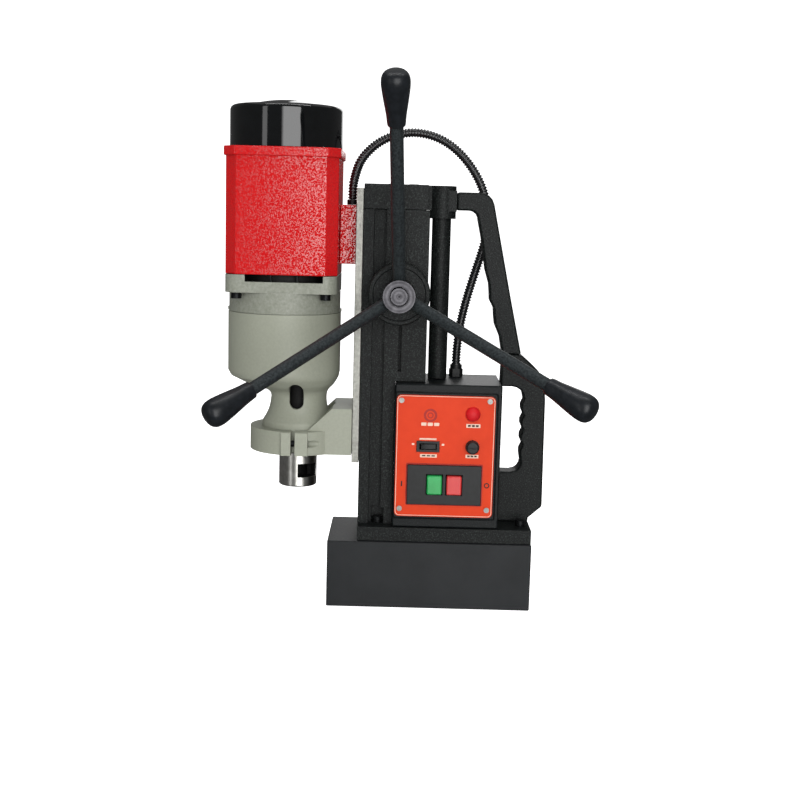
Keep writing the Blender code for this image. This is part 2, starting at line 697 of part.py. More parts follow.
def lever_frame(number):
    """Matrix that carries +Z of a lever's own frame along its real direction."""
    turn = LEVER_FIRST + 2 * pi * number / 3
    direction = Vector((cos(turn) * cos(LEVER_SPLAY), -sin(LEVER_SPLAY), sin(turn) * cos(LEVER_SPLAY)))
    rotation = direction.to_track_quat("Z", "Y").to_matrix().to_4x4()
    return Matrix.Translation(feed_pivot()) @ rotation


def turned_on_lever(profile, number, segments):
    mesh = lathe(profile, 0.0, 0.0, "Z", segments)
    mesh.transform(lever_frame(number))
    return mesh


def feed_hub():
    item = make("feed_hub", disc(*FEED_AXIS, HUB_RADIUS, *HUB_Y, "Y", 32), "machined_steel", feed_pivot())
    cut(item, disc(*FEED_AXIS, SHAFT_RADIUS + GAP, HUB_Y[0] - 0.005, HUB_Y[1] + 0.005, "Y", 24))
    cut(item, disc(*FEED_AXIS, HUB_CAP_RADIUS + GAP, HUB_Y[0] - 0.005, HUB_Y[0] + HUB_CAP_DEPTH, "Y", 24))
    for number in range(3):
        hole = ((0.0, LEVER_START - 0.001), (LEVER_RADIUS + GAP, LEVER_START - 0.001),
                (LEVER_RADIUS + GAP, 0.035), (0.0, 0.035))
        cut(item, turned_on_lever(hole, number, 16))


def hub_cap():
    item_y = (HUB_Y[0] - 0.0004, HUB_Y[0] + HUB_CAP_DEPTH - GAP)
    make("hub_cap", disc(*FEED_AXIS, HUB_CAP_RADIUS, *item_y, "Y", 24), "machined_steel", feed_pivot())


def levers():
    rod = ((0.0, LEVER_START), (LEVER_RADIUS, LEVER_START), (LEVER_RADIUS, LEVER_END), (0.0, LEVER_END))
    knob = ((0.0, LEVER_END + 0.0005), (LEVER_RADIUS + GAP, LEVER_END + 0.0005),
            (LEVER_RADIUS + GAP, KNOB_START), (0.0079, KNOB_START), (0.0092, KNOB_START + 0.012),
            (0.0119, KNOB_START + 0.032), (0.0126, KNOB_START + 0.040), (0.0119, KNOB_START + 0.0465),
            (0.0082, KNOB_START + 0.0515), (0.0, KNOB_END))
    for number in range(3):
        make(f"lever_rod_{number + 1}", turned_on_lever(rod, number, 16), "black_steel", feed_pivot())
        make(f"lever_knob_{number + 1}", turned_on_lever(knob, number, 20), "matt_black", feed_pivot())


# Carriage

def slide_plate():
    item = make("slide_plate", box(SLIDE_X, (-SLIDE_HALF_Y, SLIDE_HALF_Y), SLIDE_Z), "slide_steel")
    clearance = GAP + 0.0001
    front = GROOVE_MOUTH_HALF - clearance
    rear = GROOVE_MOUTH_HALF - 2 * clearance - GIB_THICKNESS
    start = SLIDE_X[1] - 0.0005
    growth = groove_half(DOVETAIL_X) - groove_half(start)
    outline = ((start, -front), (DOVETAIL_X, -front - growth), (DOVETAIL_X, rear + growth), (start, rear))
    join(item, prism(outline, *DOVETAIL_Z))


def clamp_arm():
    item = make("clamp_arm", disc(SPINDLE_X, 0.0, RING_RADIUS, *RING_Z, segments=48), "grey_paint")
    web = ((-0.1220, RING_Z[0]), (ARM_BLOCK_X[1], RING_Z[0]), (ARM_BLOCK_X[1], ARM_Z[1]),
           (ARM_BLOCK_X[0], ARM_Z[1]), (-0.1220, RING_Z[1]))
    join(item, prism(web, -ARM_HALF_Y, ARM_HALF_Y, "Y"))
    join(item, box(EAR_X, (EAR_FRONT, -0.038), widened(RING_Z, -0.0002)))
    cut(item, disc(SPINDLE_X, 0.0, SPIGOT_RADIUS + GAP, RING_Z[0] - 0.005, RING_Z[1] + 0.0001, segments=48))
    cut(item, disc(SPINDLE_X, 0.0, SPIGOT_RADIUS + 0.0010, RING_Z[1], ARM_Z[1] + 0.010, segments=48))
    cut(item, box(SLIT_X, (EAR_FRONT - 0.005, -0.030), widened(RING_Z, 0.005)))
    y, z = CLAMP_SCREW_YZ
    cut(item, disc(y, z, 0.0033, EAR_X[0] + 0.002, EAR_X[1] + 0.010, "X", 16))
    cut(item, disc(y, z, 0.0050 + GAP, EAR_X[1] - 0.004, EAR_X[1] + 0.030, "X", 16))


def clamp_screw():
    left = EAR_X[0] + 0.0025
    seat = EAR_X[1] - 0.004 + GAP
    profile = ((0.0, left), (0.0030, left), (0.0030, seat), (0.0050, seat), (0.0050, seat + 0.005),
               (0.0, seat + 0.005))
    make("clamp_screw", lathe(profile, *CLAMP_SCREW_YZ, "X", 16), "black_steel")


def gearcase_lower():
    """Round case that draws in to an off-centre neck, with a drift window through the neck."""
    top = CASE_SEAM - 0.0001
    inner = CASE_RADIUS - CASE_WALL
    shoulder = (MOTOR_X + SPINDLE_X) / 2
    sections = ((MOTOR_X, CASE_RADIUS, top), (MOTOR_X, CASE_RADIUS, 0.2275),
                (MOTOR_X + 0.001, CASE_RADIUS - 0.0020, 0.2222), (shoulder - 0.0005, 0.0430, 0.2145),
                (SPINDLE_X - 0.002, 0.0318, 0.2090), (SPINDLE_X, NECK_RADIUS, 0.2040),
                (SPINDLE_X, NECK_RADIUS, 0.1970), (SPINDLE_X, 0.0296, 0.1890), (SPINDLE_X, 0.0325, 0.1825),
                (SPINDLE_X, SPIGOT_RADIUS, 0.1770), (SPINDLE_X, SPIGOT_RADIUS, RING_Z[0] + 0.001),
                (SPINDLE_X, NECK_BORE, RING_Z[0] + 0.001), (SPINDLE_X, NECK_BORE, CASE_FLOOR),
                (MOTOR_X, inner, CASE_FLOOR), (MOTOR_X, inner, top))
    item = make("gearcase_lower", loft(sections, 48), "grey_paint")
    cut(item, prism(stadium(SPINDLE_X, WINDOW_Z, *WINDOW_SIZE), -0.060, 0.060, "Y"))
    cut(item, disc(*idler_place(), 0.0043, CASE_FLOOR - 0.008, CASE_FLOOR + 0.005, segments=16))


def gearcase_upper():
    bottom = CASE_SEAM + GAP - 0.0001
    item = make("gearcase_upper", disc(MOTOR_X, 0.0, UPPER_RADIUS, bottom, FLANGE_Z[0] + 0.001, segments=48),
                "grey_paint")
    join(item, prism(rounded_square(MOTOR_X, 0.0, HOUSING_HALF, HOUSING_CORNER), *FLANGE_Z))
    cut(item, disc(MOTOR_X, 0.0, 0.0497, bottom - 0.005, 0.2975, segments=32))
    cut(item, disc(MOTOR_X, 0.0, 0.0470, 0.3045, FLANGE_Z[1] + 0.005, segments=32))
    cut(item, disc(MOTOR_X, 0.0, 0.0110, 0.2900, 0.3200, segments=24))
    cut(item, disc(*idler_place(), 0.0043, 0.2900, 0.3020, segments=16))
    outlet = (MOTOR_X - 0.0335, MOTOR_X + 0.0405)
    cut(item, box(outlet, (-0.060, 0.060), (0.3165, FLANGE_Z[1] + 0.005)))


def motor_housing():
    item = make("motor_housing", prism(rounded_square(MOTOR_X, 0.0, HOUSING_HALF, HOUSING_CORNER), *HOUSING_Z),
                "red_paint")
    band = rounded_square(MOTOR_X, 0.0, BAND_HALF, HOUSING_CORNER + 0.002)
    join(item, prism(band, BAND_Z, HOUSING_Z[1] - 0.00005))
    inner = rounded_square(MOTOR_X, 0.0, HOUSING_HALF - HOUSING_WALL, HOUSING_CORNER - HOUSING_WALL)
    cut(item, prism(inner, HOUSING_Z[0] - 0.005, HOUSING_Z[1] - 0.006))
    cut(item, disc(MOTOR_X, 0.0, 0.0085, HOUSING_Z[1] - 0.020, HOUSING_Z[1] + 0.010, segments=24))
    for step in range(4):
        angle = pi / 4 + step * pi / 2
        place = (MOTOR_X + 0.032 * cos(angle), 0.032 * sin(angle))
        cut(item, disc(*place, 0.0100, HOUSING_Z[1] - 0.020, HOUSING_Z[1] + 0.010, segments=16))


def top_cap():
    bottom = HOUSING_Z[1] + GAP
    inner = CAP_RADIUS - CAP_WALL
    profile = ((0.0, CAP_TOP), (0.0200, CAP_TOP - 0.0020), (0.0360, CAP_TOP - 0.0070),
               (0.0430, CAP_RIM), (CAP_RADIUS - 0.003, CAP_RIM), (CAP_RADIUS, CAP_RIM - 0.003),
               (CAP_RADIUS, bottom), (inner, bottom), (inner, CAP_RIM - CAP_WALL), (0.0, CAP_RIM - CAP_WALL))
    make("top_cap", lathe(profile, MOTOR_X, 0.0, "Z", 48), "gloss_black")


def terminal_box():
    item = make("terminal_box", box(TERMINAL_X, TERMINAL_Y, TERMINAL_Z), "red_paint")
    wall = 0.0025
    cut(item, box((TERMINAL_X[0] - 0.005, TERMINAL_X[1] - wall), widened(TERMINAL_Y, -wall),
                  widened(TERMINAL_Z, -wall)))


def motor_conduit_gland():
    low = TERMINAL_Z[1] + GAP
    make("motor_conduit_gland", disc(*MOTOR_GLAND_XY, 0.0056, low, MOTOR_GLAND_TOP, segments=20), "matt_black")


def box_conduit_gland():
    low = BOX_Z[1] + GAP
    item = make("box_conduit_gland", prism(circle(*BOX_GLAND_XY, 0.0072, 6), low, BOX_GLAND_TOP), "matt_black")
    join(item, disc(*BOX_GLAND_XY, 0.0040, BOX_Z[1] - 0.008, low + 0.002, segments=20))


def stator_core():
    outline = rounded_square(MOTOR_X, 0.0, HOUSING_HALF - HOUSING_WALL - 0.0004, HOUSING_CORNER - HOUSING_WALL)
    item = make("stator_core", prism(outline, 0.352, 0.400), "core_steel")
    cut(item, disc(MOTOR_X, 0.0, 0.0245, 0.340, 0.410, segments=32))
    for side in (-1, 1):
        faces = sorted((side * 0.0230, side * 0.0400))
        cut(item, box((MOTOR_X - 0.030, MOTOR_X + 0.030), faces, (0.340, 0.410)))


def brush_holders():
    for name, side in (("brush_holder_front", -1), ("brush_holder_rear", 1)):
        faces = sorted((side * 0.0155, side * 0.0480))
        make(name, box(about(MOTOR_X, 0.007), faces, (0.411, 0.425)), "bronze")


def bearings():
    make("armature_bearing", tube(MOTOR_X, 0.0, 0.0107, 0.0053, 0.2980, 0.3040, segments=24), "machined_steel")
    make("spindle_bearing", tube(SPINDLE_X, 0.0, NECK_BORE - GAP, 0.0153, 0.2190, 0.2290, segments=32),
         "machined_steel")


# Rotating parts

def armature():
    pivot = (MOTOR_X, 0.0, 0.376)
    profile = ((0.0, 0.2610), (0.0050, 0.2610), (0.0050, 0.3280), (0.0090, 0.3280), (0.0090, 0.3330),
               (0.0050, 0.3330), (0.0050, 0.3480), (0.0180, 0.3480), (0.0235, 0.3540), (0.0235, 0.3980),
               (0.0180, 0.4040), (0.0080, 0.4040), (0.0145, 0.4090), (0.0145, 0.4270), (0.0060, 0.4270),
               (0.0060, 0.4410), (0.0, 0.4410))
    item = make("armature", lathe(profile, MOTOR_X, 0.0, "Z", 32), "copper", pivot)
    join(item, prism(gear_outline(MOTOR_X, 0.0, *STAGE_ONE[:2]), WHEEL_ONE_Z[0] - 0.002, WHEEL_ONE_Z[1] + 0.002))
    blades = 8
    star = []
    for step in range(2 * blades):
        radius = 0.0420 if step % 2 == 0 else 0.0420 - 0.012
        for offset in (-0.30, 0.30):
            angle = pi / blades * (step + offset)
            star.append((MOTOR_X + radius * cos(angle), radius * sin(angle)))
    join(item, prism(star, 0.3290, 0.3320))


def idler_gear():
    x, y = idler_place()
    phase = mesh_phase((MOTOR_X, 0.0), (x, y), STAGE_ONE[1], STAGE_ONE[2], 0.0)
    profile = ((0.0, 0.2232), (0.0040, 0.2232), (0.0040, 0.3010), (0.0, 0.3010))
    item = make("idler_gear", lathe(profile, x, y, "Z", 20), "machined_steel", (x, y, 0.260))
    join(item, prism(gear_outline(x, y, STAGE_ONE[0], STAGE_ONE[2], phase), *WHEEL_ONE_Z))
    join(item, prism(gear_outline(x, y, *STAGE_TWO[:2]), WHEEL_TWO_Z[0] - 0.002, WHEEL_ONE_Z[0] + 0.001))


def spindle():
    phase = mesh_phase(idler_place(), (SPINDLE_X, 0.0), STAGE_TWO[1], STAGE_TWO[2], 0.0)
    profile = ((0.0, SOCKET_TOP), (SOCKET_RADIUS, SOCKET_TOP), (SOCKET_RADIUS, NOSE_Z[0]),
               (NOSE_RADIUS - 0.001, NOSE_Z[0]), (NOSE_RADIUS, NOSE_Z[0] + 0.001), (NOSE_RADIUS, NOSE_Z[1]),
               (0.0165, NOSE_Z[1] + 0.001), (0.0165, 0.2180), (0.0150, 0.2180), (0.0150, 0.2380),
               (0.0070, 0.2380), (0.0070, 0.2590), (0.0, 0.2590))
    item = make("spindle", lathe(profile, SPINDLE_X, 0.0, "Z", 40), "machined_steel", (SPINDLE_X, 0.0, 0.150))
    join(item, prism(gear_outline(SPINDLE_X, 0.0, STAGE_TWO[0], STAGE_TWO[2], phase), *WHEEL_TWO_Z))
    window = box((-0.011, 0.011), (-0.030, -0.0065), (0.1215, 0.1349))
    window.transform(Matrix.Translation((SPINDLE_X, 0.0, 0.0)) @ Matrix.Rotation(radians(40.0), 4, "Z"))
    cut(item, window)


# Conduit between the motor and the control box

CONDUIT_ROUTE = (
    (-0.0845, 0.0215, 0.3968), (-0.0844, 0.0223, 0.4064), (-0.0833, 0.0254, 0.4166), (-0.0781, 0.0330, 0.4338),
    (-0.0669, 0.0392, 0.4482), (-0.0515, 0.0418, 0.4585), (-0.0330, 0.0420, 0.4637), (-0.0177, 0.0420, 0.4639),
    (-0.0024, 0.0415, 0.4603), (0.0122, 0.0400, 0.4526), (0.0257, 0.0375, 0.4407), (0.0376, 0.0345, 0.4249),
    (0.0460, 0.0315, 0.4071), (0.0503, 0.0285, 0.3870), (0.0501, 0.0262, 0.3670), (0.0460, 0.0250, 0.3484),
    (0.0408, 0.0243, 0.3310), (0.0355, 0.0238, 0.3130), (0.0305, 0.0228, 0.2940), (0.0264, 0.0216, 0.2740),
    (0.0242, 0.0206, 0.2550), (0.0235, 0.0200, 0.2430), (0.0235, 0.0200, 0.2348),
)


def smooth_route(points, per_span):
    """Catmull-Rom curve through the points."""
    points = [Vector(point) for point in points]
    ends = [points[0] * 2 - points[1]] + points + [points[-1] * 2 - points[-2]]
    curve = []
    for a, b, c, d in zip(ends, ends[1:], ends[2:], ends[3:]):
        for step in range(per_span):
            t = step / per_span
            curve.append(0.5 * (2 * b + (c - a) * t + (2 * a - 5 * b + 4 * c - d) * t ** 2
                                + (3 * b - a - 3 * c + d) * t ** 3))
    return curve + [points[-1]]


def conduit():
    data = bpy.data.curves.new("conduit", "CURVE")
    data.dimensions = "3D"
    data.bevel_depth = CONDUIT_RADIUS
    data.bevel_resolution = 3
    data.use_fill_caps = True
    spline = data.splines.new("POLY")
    points = smooth_route(CONDUIT_ROUTE, CONDUIT_STEPS)
    spline.points.add(len(points) - 1)
    for place, point in zip(spline.points, points):
        place.co = (*point, 1.0)
    data.materials.append(material("matt_black"))
    bpy.context.scene.collection.objects.link(bpy.data.objects.new("conduit", data))


def build():
    clear_scene()
    for part in (magnet_housing, magnet_core, magnet_coil, column_casting, foot_bolts, gib_strip, gib_screws,
                 top_bracket, rear_post, upper_handle, lower_handle, control_box, control_box_cover,
                 control_panel, switch_block, push_buttons, indicator_lamp, fuse_holder, fuse_cap,
                 rocker_bezel, magnet_rocker, control_board, mains_gland, box_conduit_gland, bushes,
                 pinion_shaft, feed_rack, feed_hub, hub_cap, levers, slide_plate, clamp_arm, clamp_screw,
                 gearcase_lower, gearcase_upper, motor_housing, top_cap, terminal_box,
                 motor_conduit_gland, stator_core, brush_holders, bearings, armature, idler_gear,
                 spindle, conduit):
        part()


build()
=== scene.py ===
"""The looks of a magnetic drill press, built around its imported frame.

Metres, +Z up. The origin is under the middle of the magnet base, +X runs towards the carry handle
and -Y towards the operator.
"""

import json
from math import cos, pi, radians, sin, tau

import bmesh
import bpy
from mathutils import Matrix, Vector


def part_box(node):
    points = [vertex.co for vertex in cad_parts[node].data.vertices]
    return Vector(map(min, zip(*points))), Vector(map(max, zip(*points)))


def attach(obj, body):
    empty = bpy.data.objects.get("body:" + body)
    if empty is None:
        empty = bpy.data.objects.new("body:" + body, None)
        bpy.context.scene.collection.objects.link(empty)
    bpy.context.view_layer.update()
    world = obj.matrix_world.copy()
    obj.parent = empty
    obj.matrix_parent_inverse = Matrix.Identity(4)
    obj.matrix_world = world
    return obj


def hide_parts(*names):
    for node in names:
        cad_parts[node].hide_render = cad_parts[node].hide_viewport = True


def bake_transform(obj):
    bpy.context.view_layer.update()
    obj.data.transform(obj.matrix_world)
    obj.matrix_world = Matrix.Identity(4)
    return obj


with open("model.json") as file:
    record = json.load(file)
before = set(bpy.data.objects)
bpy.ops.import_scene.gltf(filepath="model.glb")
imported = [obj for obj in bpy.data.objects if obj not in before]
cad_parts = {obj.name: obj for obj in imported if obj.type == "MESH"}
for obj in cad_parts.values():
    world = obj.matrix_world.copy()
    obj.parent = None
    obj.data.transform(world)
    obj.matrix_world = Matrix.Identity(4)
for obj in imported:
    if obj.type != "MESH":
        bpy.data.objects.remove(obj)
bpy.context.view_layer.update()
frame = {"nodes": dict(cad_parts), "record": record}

BODY_OF = {node: body for body, nodes in frame["record"]["behaviour"]["bodies"].items() for node in nodes}

MM = 0.001
SHARP = radians(32.0)             # edges with a larger angle stay sharp, or are rounded off
SKIN = 0.05 * MM                  # thickness of printed ink
FOLD_LIMIT = 1.0 * MM ** 2        # overlap of faces above which an edge is rounded less
ROUND = 96                        # sides of a turned piece


# ---------------------------------------------------------------- places taken from the frame

def span(node, axis):
    """Lowest and highest coordinate of a CAD node along an axis."""
    low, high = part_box(node)
    return low["XYZ".index(axis)], high["XYZ".index(axis)]


def middle(node, axis):
    return sum(span(node, axis)) / 2


MOTOR_X = middle("top_cap", "X")
SPINDLE_X = middle("spindle_bearing", "X")
FEED_X = middle("hub_cap", "X")
FEED_Z = middle("hub_cap", "Z")
PANEL_FACE = span("control_panel", "Y")[0]
FITTING_FACE = span("switch_block", "Y")[0] + 3.2 * MM


# ---------------------------------------------------------------- node and mesh helpers

def linear(colour):
    """Linear RGBA of an sRGB hex colour."""
    channels = [int(colour[start:start + 2], 16) / 255 for start in (1, 3, 5)]
    return [c / 12.92 if c <= 0.04045 else ((c + 0.055) / 1.055) ** 2.4 for c in channels] + [1.0]


def add(tree, kind, inputs=None, **settings):
    """Add a node with its settings; an input takes a value, or the output that it is linked to."""
    made = tree.nodes.new(kind)
    for name, value in settings.items():
        setattr(made, name, value)
    for key, value in (inputs or {}).items():
        if isinstance(value, bpy.types.NodeSocket):
            tree.links.new(value, made.inputs[key])
        else:
            made.inputs[key].default_value = value
    return made


def along(axis, u, v, height):
    """Place a point of an outline (u, v) at a height along an axis."""
    return Vector({"X": (height, u, v), "Y": (u, height, v), "Z": (u, v, height)}[axis])


def bridge(mesh, ring_a, ring_b):
    """Join two rings of vertices; a ring of one vertex is a pole."""
    count = max(len(ring_a), len(ring_b))
    for index in range(count):
        after = (index + 1) % count
        corners = [ring_a[index % len(ring_a)], ring_a[after % len(ring_a)],
                   ring_b[after % len(ring_b)], ring_b[index % len(ring_b)]]
        mesh.faces.new(list(dict.fromkeys(corners)))


def prism(outline, low, high, axis="Z"):
    mesh = bmesh.new()
    rings = [[mesh.verts.new(along(axis, u, v, height)) for u, v in outline] for height in (low, high)]
    mesh.faces.new(rings[0])
    mesh.faces.new(rings[1])
    bridge(mesh, rings[0], rings[1])
    return mesh


def block(x, y, z):
    return prism(((x[0], y[0]), (x[1], y[0]), (x[1], y[1]), (x[0], y[1])), z[0], z[1])


def ring_of(u, v, radius, count):
    angles = [tau * step / count for step in range(count)]
    return [(u + radius * cos(angle), v + radius * sin(angle)) for angle in angles]


def disc(u, v, radius, low, high, axis="Z", count=ROUND):
    return prism(ring_of(u, v, radius, count), low, high, axis)


def stacked(sections, axis="Z", count=ROUND):
    """Join round sections of (centre u, centre v, radius, height); the ends lie on the axis."""
    mesh = bmesh.new()
    rings = []
    for u, v, radius, height in sections:
        points = ring_of(u, v, radius, count) if radius > 0.0 else [(u, v)]
        rings.append([mesh.verts.new(along(axis, *point, height)) for point in points])
    for lower, upper in zip(rings, rings[1:]):
        bridge(mesh, lower, upper)
    return mesh


def turned(profile, u=0.0, v=0.0, axis="Z", count=ROUND):
    """Turn an open profile of (radius, height), whose ends lie on the axis, about (u, v)."""
    return stacked([(u, v, radius, height) for radius, height in profile], axis, count)


def merged(shapes):
    """Put shapes that don't touch into one mesh."""
    mesh = bmesh.new()
    for shape in shapes:
        part = bpy.data.meshes.new("part")
        shape.to_mesh(part)
        shape.free()
        mesh.from_mesh(part)
        bpy.data.meshes.remove(part)
    return mesh


def rounded(corners, steps=6):
    """A closed outline with each corner (u, v, radius) turned into an arc."""
    outline = []
    count = len(corners)
    for index, (u, v, radius) in enumerate(corners):
        here = Vector((u, v))
        before = (Vector(corners[index - 1][:2]) - here).normalized()
        after = (Vector(corners[(index + 1) % count][:2]) - here).normalized()
        half = before.angle(after) / 2
        if radius <= 0.0 or half > radians(89.0):
            outline.append((u, v))
            continue
        reach = radius / sin(half) * cos(half)
        centre = here + (before + after).normalized() * (radius / sin(half))
        start = here + before * reach - centre
        turn = pi - 2 * half
        if start.x * (after.y) - start.y * (after.x) < 0:
            turn = -turn
        for step in range(steps + 1):
            spoke = Matrix.Rotation(turn * step / steps, 2) @ start
            outline.append((centre.x + spoke.x, centre.y + spoke.y))
    return outline


def smooth(points, per_span):
    """Catmull-Rom curve through the points."""
    points = [Vector(point) for point in points]
    ends = [points[0] * 2 - points[1]] + points + [points[-1] * 2 - points[-2]]
    curve = []
    for a, b, c, d in zip(ends, ends[1:], ends[2:], ends[3:]):
        for step in range(per_span):
            t = step / per_span
            curve.append(0.5 * (2 * b + (c - a) * t + (2 * a - 5 * b + 4 * c - d) * t ** 2
                                + (3 * b - a - 3 * c + d) * t ** 3))
    return curve + [points[-1]]


def rectangle(u, v, radius):
    """Outline of a rectangle with round corners."""
    return rounded([(u[0], v[0], radius), (u[1], v[0], radius), (u[1], v[1], radius), (u[0], v[1], radius)])


def about(centre, half):
    return centre - half, centre + half


# ---------------------------------------------------------------- objects

def new_object(name, mesh):
    bmesh.ops.recalc_face_normals(mesh, faces=mesh.faces)
    data = bpy.data.meshes.new(name)
    mesh.to_mesh(data)
    mesh.free()
    item = bpy.data.objects.new(name, data)
    bpy.context.scene.collection.objects.link(item)
    return item


def settle(item):
    """Replace a piece by what its modifiers make of it."""
    graph = bpy.context.evaluated_depsgraph_get()
    data = bpy.data.meshes.new_from_object(item.evaluated_get(graph), depsgraph=graph)
    if item.type == "MESH":
        item.modifiers.clear()
        item.data = data
        return item
    plain = bpy.data.objects.new(item.name + "_mesh", data)
    bpy.context.scene.collection.objects.link(plain)
    bpy.data.objects.remove(item)
    return plain


def is_sharp(edge):
    return len(edge.link_faces) == 2 and edge.calc_face_angle() > SHARP


def room_beside(edge):
    """How far the faces of an edge, and the sharp edges that meet it across, let it be rounded."""
    centre = (edge.verts[0].co + edge.verts[1].co) / 2
    line = (edge.verts[1].co - edge.verts[0].co).normalized()
    room = []
    for face in edge.link_faces:
        inward = line.cross(face.normal)
        reaches = [(vert.co - centre).dot(inward) for vert in face.verts]
        room.append(0.4 * max(max(reaches), -min(reaches)))
    for vert in edge.verts:
        for other in vert.link_edges:
            across = (other.other_vert(vert).co - vert.co).normalized()
            if other is not edge and is_sharp(other) and abs(across.dot(line)) < 0.8:
                room.append(0.45 * other.calc_length())
    return min(room)


def weigh_edges(item, width):
    """Mark the sharp edges, and weigh the outer ones for rounding by the room that they have."""
    mesh = bmesh.new()
    mesh.from_mesh(item.data)
    weight = mesh.edges.layers.float.new("bevel_weight_edge")
    for edge in mesh.edges:
        if is_sharp(edge):
            edge.smooth = False
            edge[weight] = min(1.0, room_beside(edge) / width) if edge.is_convex else 0.0
    mesh.to_mesh(item.data)
    mesh.free()


def folded(data):
    """Area by which faces overlap themselves."""
    data.calc_loop_triangles()
    excess = 0.0
    areas = [0.0] * len(data.polygons)
    for triangle in data.loop_triangles:
        areas[triangle.polygon_index] += triangle.area
    for face, area in zip(data.polygons, areas):
        excess += abs(area - face.area) if len(face.vertices) > 4 else 0.0
    return excess


def soften(item, width, segments=2):
    """Round the sharp outer edges off, as widely as leaves no face folded; large faces rule the shading."""
    item.data.shade_smooth()
    sharp = item.data.copy()
    for share in (1.0, 0.6, 0.35, 0.2):
        weigh_edges(item, width * share)
        edges = item.modifiers.new("edges", "BEVEL")
        edges.width = width * share
        edges.segments = segments
        edges.limit_method = "WEIGHT"
        edges.use_clamp_overlap = False
        edges.loop_slide = False
        normals = item.modifiers.new("normals", "WEIGHTED_NORMAL")
        normals.keep_sharp = True
        settle(item)
        if folded(item.data) < FOLD_LIMIT:
            return
        item.data = sharp.copy()
    item.data.set_sharp_from_angle(angle=SHARP)


def dress(item, finish, edge, segments=2):
    """Round the edges, if a width is given, and put the finish on."""
    if edge:
        soften(item, edge, segments)
    else:
        item.data.shade_smooth()
        item.data.set_sharp_from_angle(angle=SHARP)
    item.data.materials.clear()
    item.data.materials.append(finish)
    return item


def paint_inside(item, finish, chosen):
    """Put another finish on the faces whose centre is chosen."""
    item.data.materials.append(finish)
    for face in item.data.polygons:
        if chosen(face.center):
            face.material_index = len(item.data.materials) - 1


def solid(name, mesh, finish, joins=(), cuts=(), edge=0.0, segments=2):
    """A closed piece: a shape with others joined and cut, its edges rounded, as one plain mesh."""
    item = new_object(name, mesh)
    tools = []
    for operation, shapes in (("UNION", joins), ("DIFFERENCE", cuts)):
        for shape in shapes:
            tools.append(new_object("tool", shape))
            change = item.modifiers.new(operation.lower(), "BOOLEAN")
            change.solver = "EXACT"
            change.operation = operation
            change.object = tools[-1]
    if tools:
        settle(item)
        tidy(item)
    for used in tools:
        bpy.data.objects.remove(used)
    return dress(item, finish, edge, segments)


def tidy(item):
    """Merge doubled points and drop edges that lie in a flat face."""
    mesh = bmesh.new()
    mesh.from_mesh(item.data)
    bmesh.ops.remove_doubles(mesh, verts=mesh.verts, dist=0.002 * MM)
    bmesh.ops.dissolve_limit(mesh, angle_limit=radians(0.3), verts=mesh.verts, edges=mesh.edges)
    mesh.to_mesh(item.data)
    mesh.free()


def softened_copy(node, finish, edge, segments=2):
    """A copy of a CAD node with its faces merged and its edges rounded, which stands for it."""
    mesh = bmesh.new()
    mesh.from_mesh(frame["nodes"][node].data)
    bmesh.ops.remove_doubles(mesh, verts=mesh.verts, dist=0.002 * MM)
    bmesh.ops.dissolve_limit(mesh, angle_limit=radians(0.3), verts=mesh.verts, edges=mesh.edges)
    data = bpy.data.meshes.new(node)
    mesh.to_mesh(data)
    mesh.free()
    item = bpy.data.objects.new(node + "_finished", data)
    bpy.context.scene.collection.objects.link(item)
    return stand_for(dress(item, finish, edge, segments), node)


def stand_for(item, *nodes):
    """The piece takes the place and the body of these CAD nodes, which are hidden."""
    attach(item, BODY_OF[nodes[0]])
    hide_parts(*nodes)
    return item


def fix_to(item, node):
    """A small piece that the frame doesn't hold rides with the CAD node that it is fixed to."""
    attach(item, BODY_OF[node])
    return item


# ---------------------------------------------------------------- camera, floor and light

LENS = 56.34
SENSOR = 36.0
CAMERA_PLACE = (-0.03226, -1.23965, 0.38372)
CAMERA_DOWN = radians(8.46)
CAMERA_ROLL = radians(1.49)


def camera():
    data = bpy.data.cameras.new("camera")
    data.lens = LENS
    data.sensor_width = SENSOR
    item = bpy.data.objects.new("camera", data)
    aim = Matrix.Rotation(pi / 2 - CAMERA_DOWN, 4, "X") @ Matrix.Rotation(CAMERA_ROLL, 4, "Z")
    item.matrix_world = Matrix.Translation(CAMERA_PLACE) @ aim
    bpy.context.scene.collection.objects.link(item)
    bpy.context.scene.camera = item


def softbox(name, place, target, size, power):
    data = bpy.data.lights.new(name, "AREA")
    data.shape = "RECTANGLE"
    data.size, data.size_y = size
    data.energy = power
    item = bpy.data.objects.new(name, data)
    item.location = place
    item.rotation_euler = (Vector(target) - Vector(place)).to_track_quat("-Z", "Y").to_euler()
    bpy.context.scene.collection.objects.link(item)


